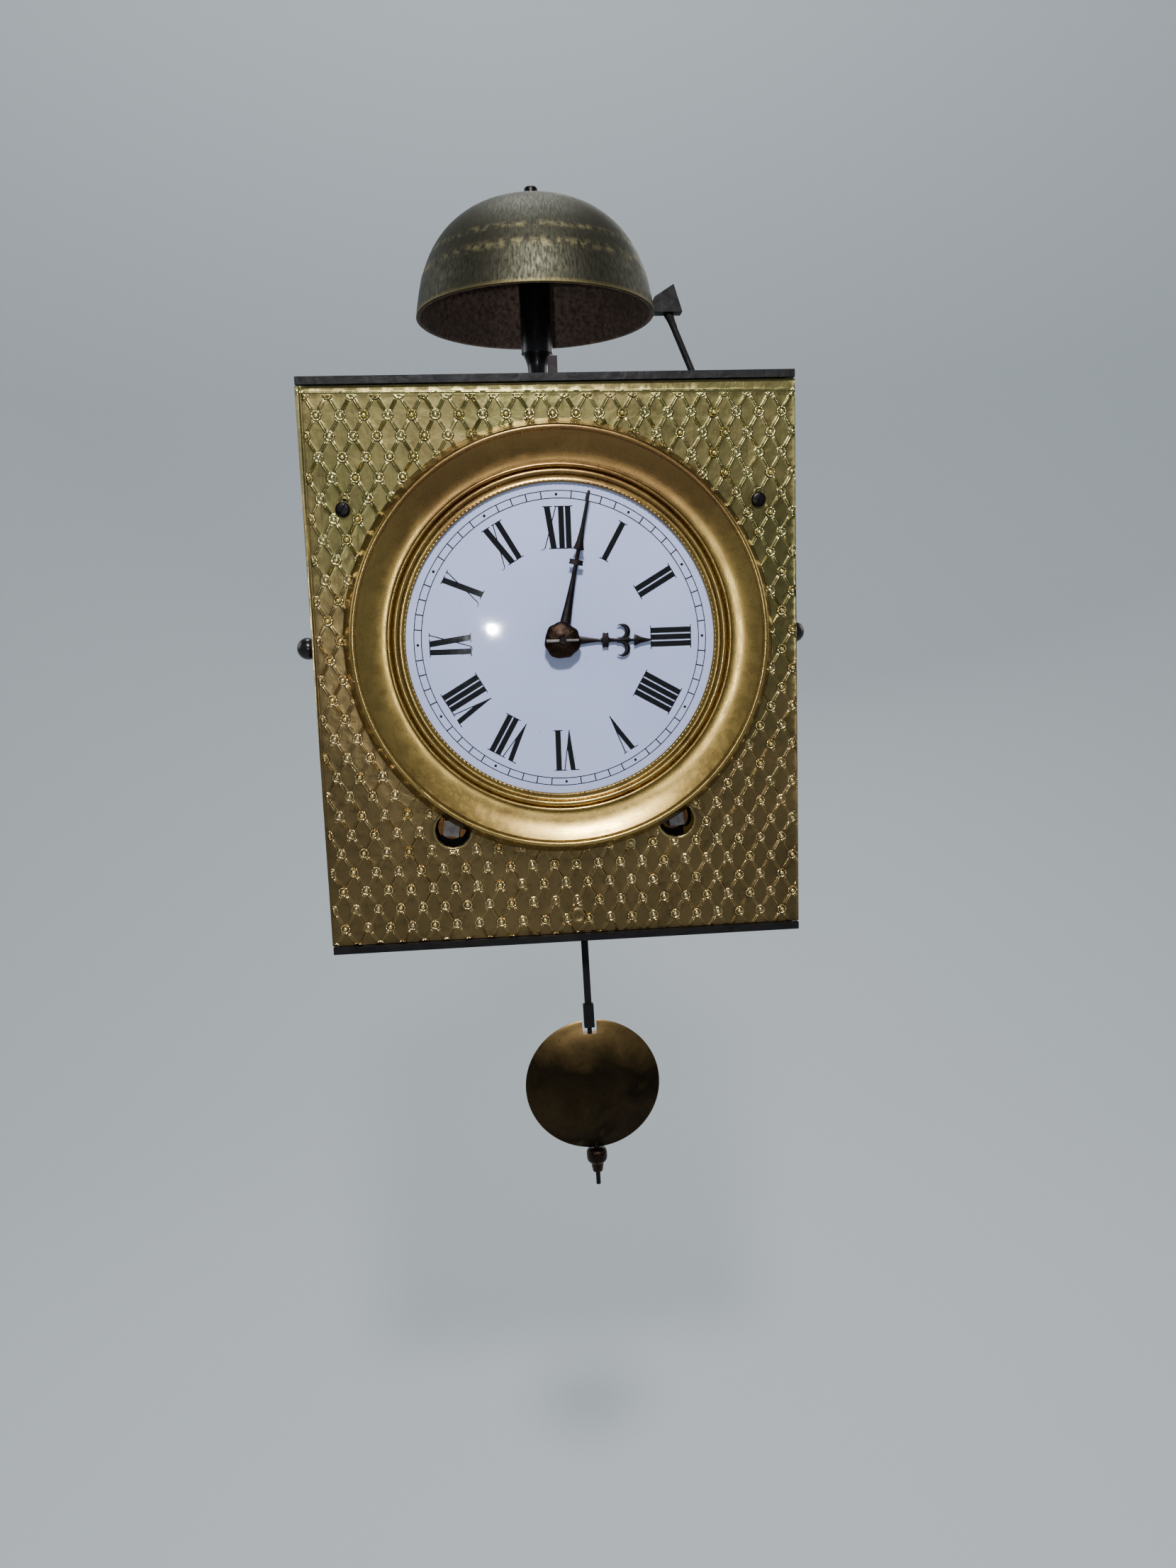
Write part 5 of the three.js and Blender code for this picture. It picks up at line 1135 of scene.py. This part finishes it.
def domed_strip(pairs, back):
    """A closed strip between two rows of places, across and along the hand, domed to the front."""
    points, faces = [], []
    count = len(HAND_SECTION)
    for left, right in pairs:
        left, right = np.array(left), np.array(right)
        crown = min(HAND_CROWN, 0.14 * float(np.hypot(*(right - left))))
        for share, edge, lift in HAND_SECTION:
            points.append((*(left + (right - left) * share), back + (edge * HAND_EDGE + lift * crown)))
    for i in range(len(pairs) - 1):
        for k in range(count):
            a, b = count * i + k, count * i + (k + 1) % count
            faces.append((a, b, b + count, a + count))
    faces.append(tuple(range(count)))
    faces.append(tuple(len(points) - 1 - k for k in range(count)))
    return points, faces


def moon(side):
    """Pairs of places round one crescent of the hour hand, horns towards the hub."""
    reach = (MOON_SHIFT**2 + MOON_RADIUS**2 - MOON_HOLLOW**2) / (2 * MOON_SHIFT)
    horn = sqrt(MOON_RADIUS**2 - reach**2)
    outer = pi - atan2(horn, reach)
    inner = pi - atan2(horn, reach - MOON_SHIFT)
    middle = side * MOON_ACROSS
    pairs = []
    for t in np.linspace(-0.985, 0.985, 29):
        far = (middle + MOON_RADIUS * sin(outer * t), MOON_ALONG + MOON_RADIUS * cos(outer * t))
        low = MOON_ALONG - MOON_SHIFT
        near = (middle + MOON_HOLLOW * sin(inner * t), low + MOON_HOLLOW * cos(inner * t))
        pairs.append((near, far))
    return pairs


def hand(node, widths, degrees, back, hub, bore, crescents=()):
    """A hand of strips and a ring, turned clockwise from twelve. back is its height over the sheet."""
    strips = [domed_strip([((-w, v), (w, v)) for v, w in widths], back)]
    strips += [domed_strip(pairs, back) for pairs in crescents]
    ring = [(bore, 0), (hub - 0.1, 0), (hub, 0.1), (hub, 0.5), (hub - 0.3, 0.75), (bore, 0.85)]
    strips.append(turned([(r, back + h) for r, h in ring], 64, ring=True))
    points, faces = [], []
    for strip_points, strip_faces in strips:
        start = len(points)
        points.extend(strip_points)
        faces.extend([start + k for k in face] for face in strip_faces)
    turn = radians(degrees)
    c, s = cos(turn), sin(turn)
    spots = [(DIAL_X + u * c + v * s, -y, DIAL_Z - u * s + v * c) for u, v, y in points]
    add_piece(f"{node}_steel", spots, faces, BODIES[node], "dark_steel", nodes=[node], angle=34)


def hands():
    hand("minute_hand", MINUTE_WIDTHS, degrees=12.4, back=6.2, hub=5.2, bore=2.4)
    hand("hour_hand", HOUR_WIDTHS, degrees=91.5, back=3.5, hub=6.0, bore=3.4, crescents=[moon(-1), moon(1)])


# Hub boss, worn uneven
BOSS_FRONT = [
    (1.6, 7.25), (6.6, 7.25), (7.45, 7.5), (7.75, 7.95), (7.6, 8.4), (7.0, 8.9), (6.0, 9.4), (4.8, 9.85),
    (3.4, 10.2), (2.4, 10.3), (1.6, 10.25),
]


def hub_boss():
    points, faces = turned(forward(eased(BOSS_FRONT, 3)), 96, ring=True)
    radius, turn = polar(points)
    worn = 0.03 * np.cos(3 * turn + 0.6) + 0.02 * np.cos(7 * turn + 2) + 0.012 * np.cos(11 * turn)
    points[:, :2] *= (1 + (worn - 0.055) * rise(radius - 2, 5))[:, None]
    front = rise(-points[:, 2] - 7.6, 1.5)
    points[:, 2] += 0.16 * waves(points[:, 0] * 1.3, points[:, 1] * 1.3) * front
    points = facing(points, DIAL_X, DIAL_Z)
    add_piece("boss", points, faces, "minute", "aged_bronze", nodes=["hand_boss"], angle=60)


# Where the hammer's stem is forged into its head
NECK_SETBACK = 6.9
NECK_LEAN = radians(-22.4)
NECK = [(0, -5), (1.5, -5), (1.55, -4), (1.6, -2), (1.85, -0.2), (2.1, 1.2), (2.1, 2.4), (0, 2.4)]


def hammer_neck():
    low = own_box("hammer_head")[0]
    spot = Vector((low.x + NECK_SETBACK, centre("hammer_head")[1], low.z - 1.5))
    points, faces = turned(NECK, 32)
    move = Matrix.Translation(spot) @ Matrix.Rotation(NECK_LEAN, 4, "Y")
    add_piece("hammer_neck", points, faces, BODIES["hammer_head"], "forged_iron", matrix=move)


# Slotted brass flange behind each winding square, seen through the sheet's holes
FLANGE_RADIUS, FLANGE_FRONT, FLANGE_BACK, FLANGE_SLOT = 6.3, 9.0, 16.0, 4.3
FLANGE = [
    (FLANGE_SLOT - 1.3, FLANGE_FRONT), (FLANGE_RADIUS - 0.3, FLANGE_FRONT),
    (FLANGE_RADIUS, FLANGE_FRONT + 0.3), (FLANGE_RADIUS, FLANGE_BACK), (FLANGE_SLOT - 1.3, FLANGE_BACK),
]


def arbor_flanges():
    for train, lean in (("going", -9), ("strike", 7)):
        node = f"{train}_winding_arbor"
        x, _, z = centre(node)
        points, faces = turned(FLANGE, 64, ring=True)
        points = facing(points, x, z)
        piece = add_piece(f"{train}_flange", points, faces, BODIES[node], "flange_brass")
        cut_slot(piece, (-FLANGE_SLOT, FLANGE_SLOT, FLANGE_FRONT - 1, FLANGE_FRONT + 5.5, -9, 9), x, z, lean)


# Small bevels on the CAD nodes' edges that are sharper than this angle, by width in millimetres
BEVEL_ANGLE = 35
BEVELS = {
    0.6: ["pillar_front_left", "pillar_front_right", "pillar_rear_left", "pillar_rear_right", "hammer_head"],
    0.5: ["top_plate", "bottom_plate", "hanging_stirrup"],
    0.4: ["front_bar_left", "front_bar_right", "front_bar_centre", "rear_bar_left", "rear_bar_right"],
    0.3: [
        "back_plate", "wall_spur_left", "wall_spur_right", "suspension_post", "pendulum_rod",
        "pendulum_lower_rod", "going_winding_arbor", "strike_winding_arbor",
    ],
    0.25: ["door_left", "door_right"],
    0.2: ["anchor", "going_click", "strike_click"],
    0.15: ["strike_rack", "crutch", "front_sheet"],
    0.1: ["fly"],
}
BEVEL_OF_NODE = {name: width for width, names in BEVELS.items() for name in names}

# Wheels in one solid with their arbor: within this many millimetres of the axis they are steel
WHEELS = ["centre_wheel", "third_wheel", "escape_wheel", "pin_wheel", "locking_wheel", "fly", "reverse_wheel"]
ARBOR_FINISHES = {"minute_arbor": "dark_steel", **dict.fromkeys(WHEELS, "bright_steel")}
ARBOR_REACH = 2.35


def steel_arbor(name, node):
    """Gives the faces close round a wheel's axis the finish of its arbor."""
    joint = next(j for j in BEHAVIOUR["joints"] if j["child"] == BODIES[name])
    axis_x, _, axis_z = joint["pos_m"]
    node.data.materials.append(finishes[ARBOR_FINISHES[name]])
    spots = [node.matrix_world @ vertex.co for vertex in node.data.vertices]
    close = [hypot(p.x - axis_x, p.z - axis_z) < ARBOR_REACH * MM for p in spots]
    for face in node.data.polygons:
        if all(close[v] for v in face.vertices):
            face.material_index = 1


def dress_cad_nodes():
    for name, node in frame["nodes"].items():
        node.data.materials.clear()
        node.data.materials.append(finishes[SLOTS[name]])
        if name in ARBOR_FINISHES:
            steel_arbor(name, node)
        if name in BEVEL_OF_NODE:
            edge = node.modifiers.new("eased_edges", "BEVEL")
            edge.width = BEVEL_OF_NODE[name] * MM
            edge.segments = 2
            edge.limit_method = "ANGLE"
            edge.angle_limit = radians(BEVEL_ANGLE)
            edge.harden_normals = False
        shade(node.data, BEVEL_ANGLE)


dress_cad_nodes()
bezel()
bezel_rope()
dial()
dial_marks()
sheet_skin()
dial_screws()
bell()
bell_post()
bob()
rating_nut()
knobs()
arbor_flanges()
hammer_neck()
bell_top()
hands()
hub_boss()


# Stage: a pale bowl all round, far enough for every view
STAGE_RADIUS = 2.2
STAGE_CORNER = 1.2
STAGE_FLOOR = -0.75
STAGE_HEIGHT = 3.0


def make_stage():
    flat = STAGE_RADIUS - STAGE_CORNER
    profile = [(0.0, 0.0), (flat, 0.0)]
    for turn in (pi / 2 * i / 18 for i in range(1, 19)):
        profile.append((flat + STAGE_CORNER * sin(turn), STAGE_CORNER * (1 - cos(turn))))
    profile.append((STAGE_RADIUS, STAGE_HEIGHT))
    points, faces = turned(profile, 96)
    points[:, 2] += STAGE_FLOOR
    mesh = bpy.data.meshes.new("stage")
    mesh.from_pydata(points.tolist(), [], faces)
    mesh.shade_smooth()
    mesh.materials.append(Finish("stage_paint").done(hex_colour("aab0b4"), 0.75, 0.0))
    add_object("stage", mesh)


make_stage()


def area_light(name, where, aim, size, power, colour):
    data = bpy.data.lights.new(name, "AREA")
    data.shape = "DISK"
    data.size = size
    data.energy = power
    data.color = colour
    light = add_object(name, data)
    light.location = where
    light.rotation_mode = "QUATERNION"
    light.rotation_quaternion = (Vector(aim) - Vector(where)).to_track_quat("-Z", "Y")


COOL, COOLER, WARM = (0.95, 0.98, 1.0), (0.93, 0.97, 1.0), (1.0, 0.98, 0.95)
WORLD_COLOUR = (0.8, 0.83, 0.87, 1)


def make_lights():
    middle = place()
    area_light("key", place(-21, -623, 540), middle, 0.1, 10.5, (0.97, 0.98, 1.0))
    area_light("flash", place(-45, -455, 22), middle, 0.008, 0.36, COOLER)
    area_light("wall_wash", (0, 0.6, 2.3), (0, 1.7, -0.5), 1.2, 52, COOL)
    area_light("rear_fill", (0.4, 1.5, 0.7), middle, 1.2, 10, WARM)
    area_light("left_fill", (-1.3, 0.25, 0.45), middle, 0.9, 5, COOL)
    area_light("right_fill", (1.3, 0.25, 0.45), middle, 0.9, 5, WARM)
    world = bpy.data.worlds.new("world")
    bpy.context.scene.world = world
    world.use_nodes = True
    background = world.node_tree.nodes["Background"]
    background.inputs["Color"].default_value = WORLD_COLOUR
    background.inputs["Strength"].default_value = 0.1


make_lights()
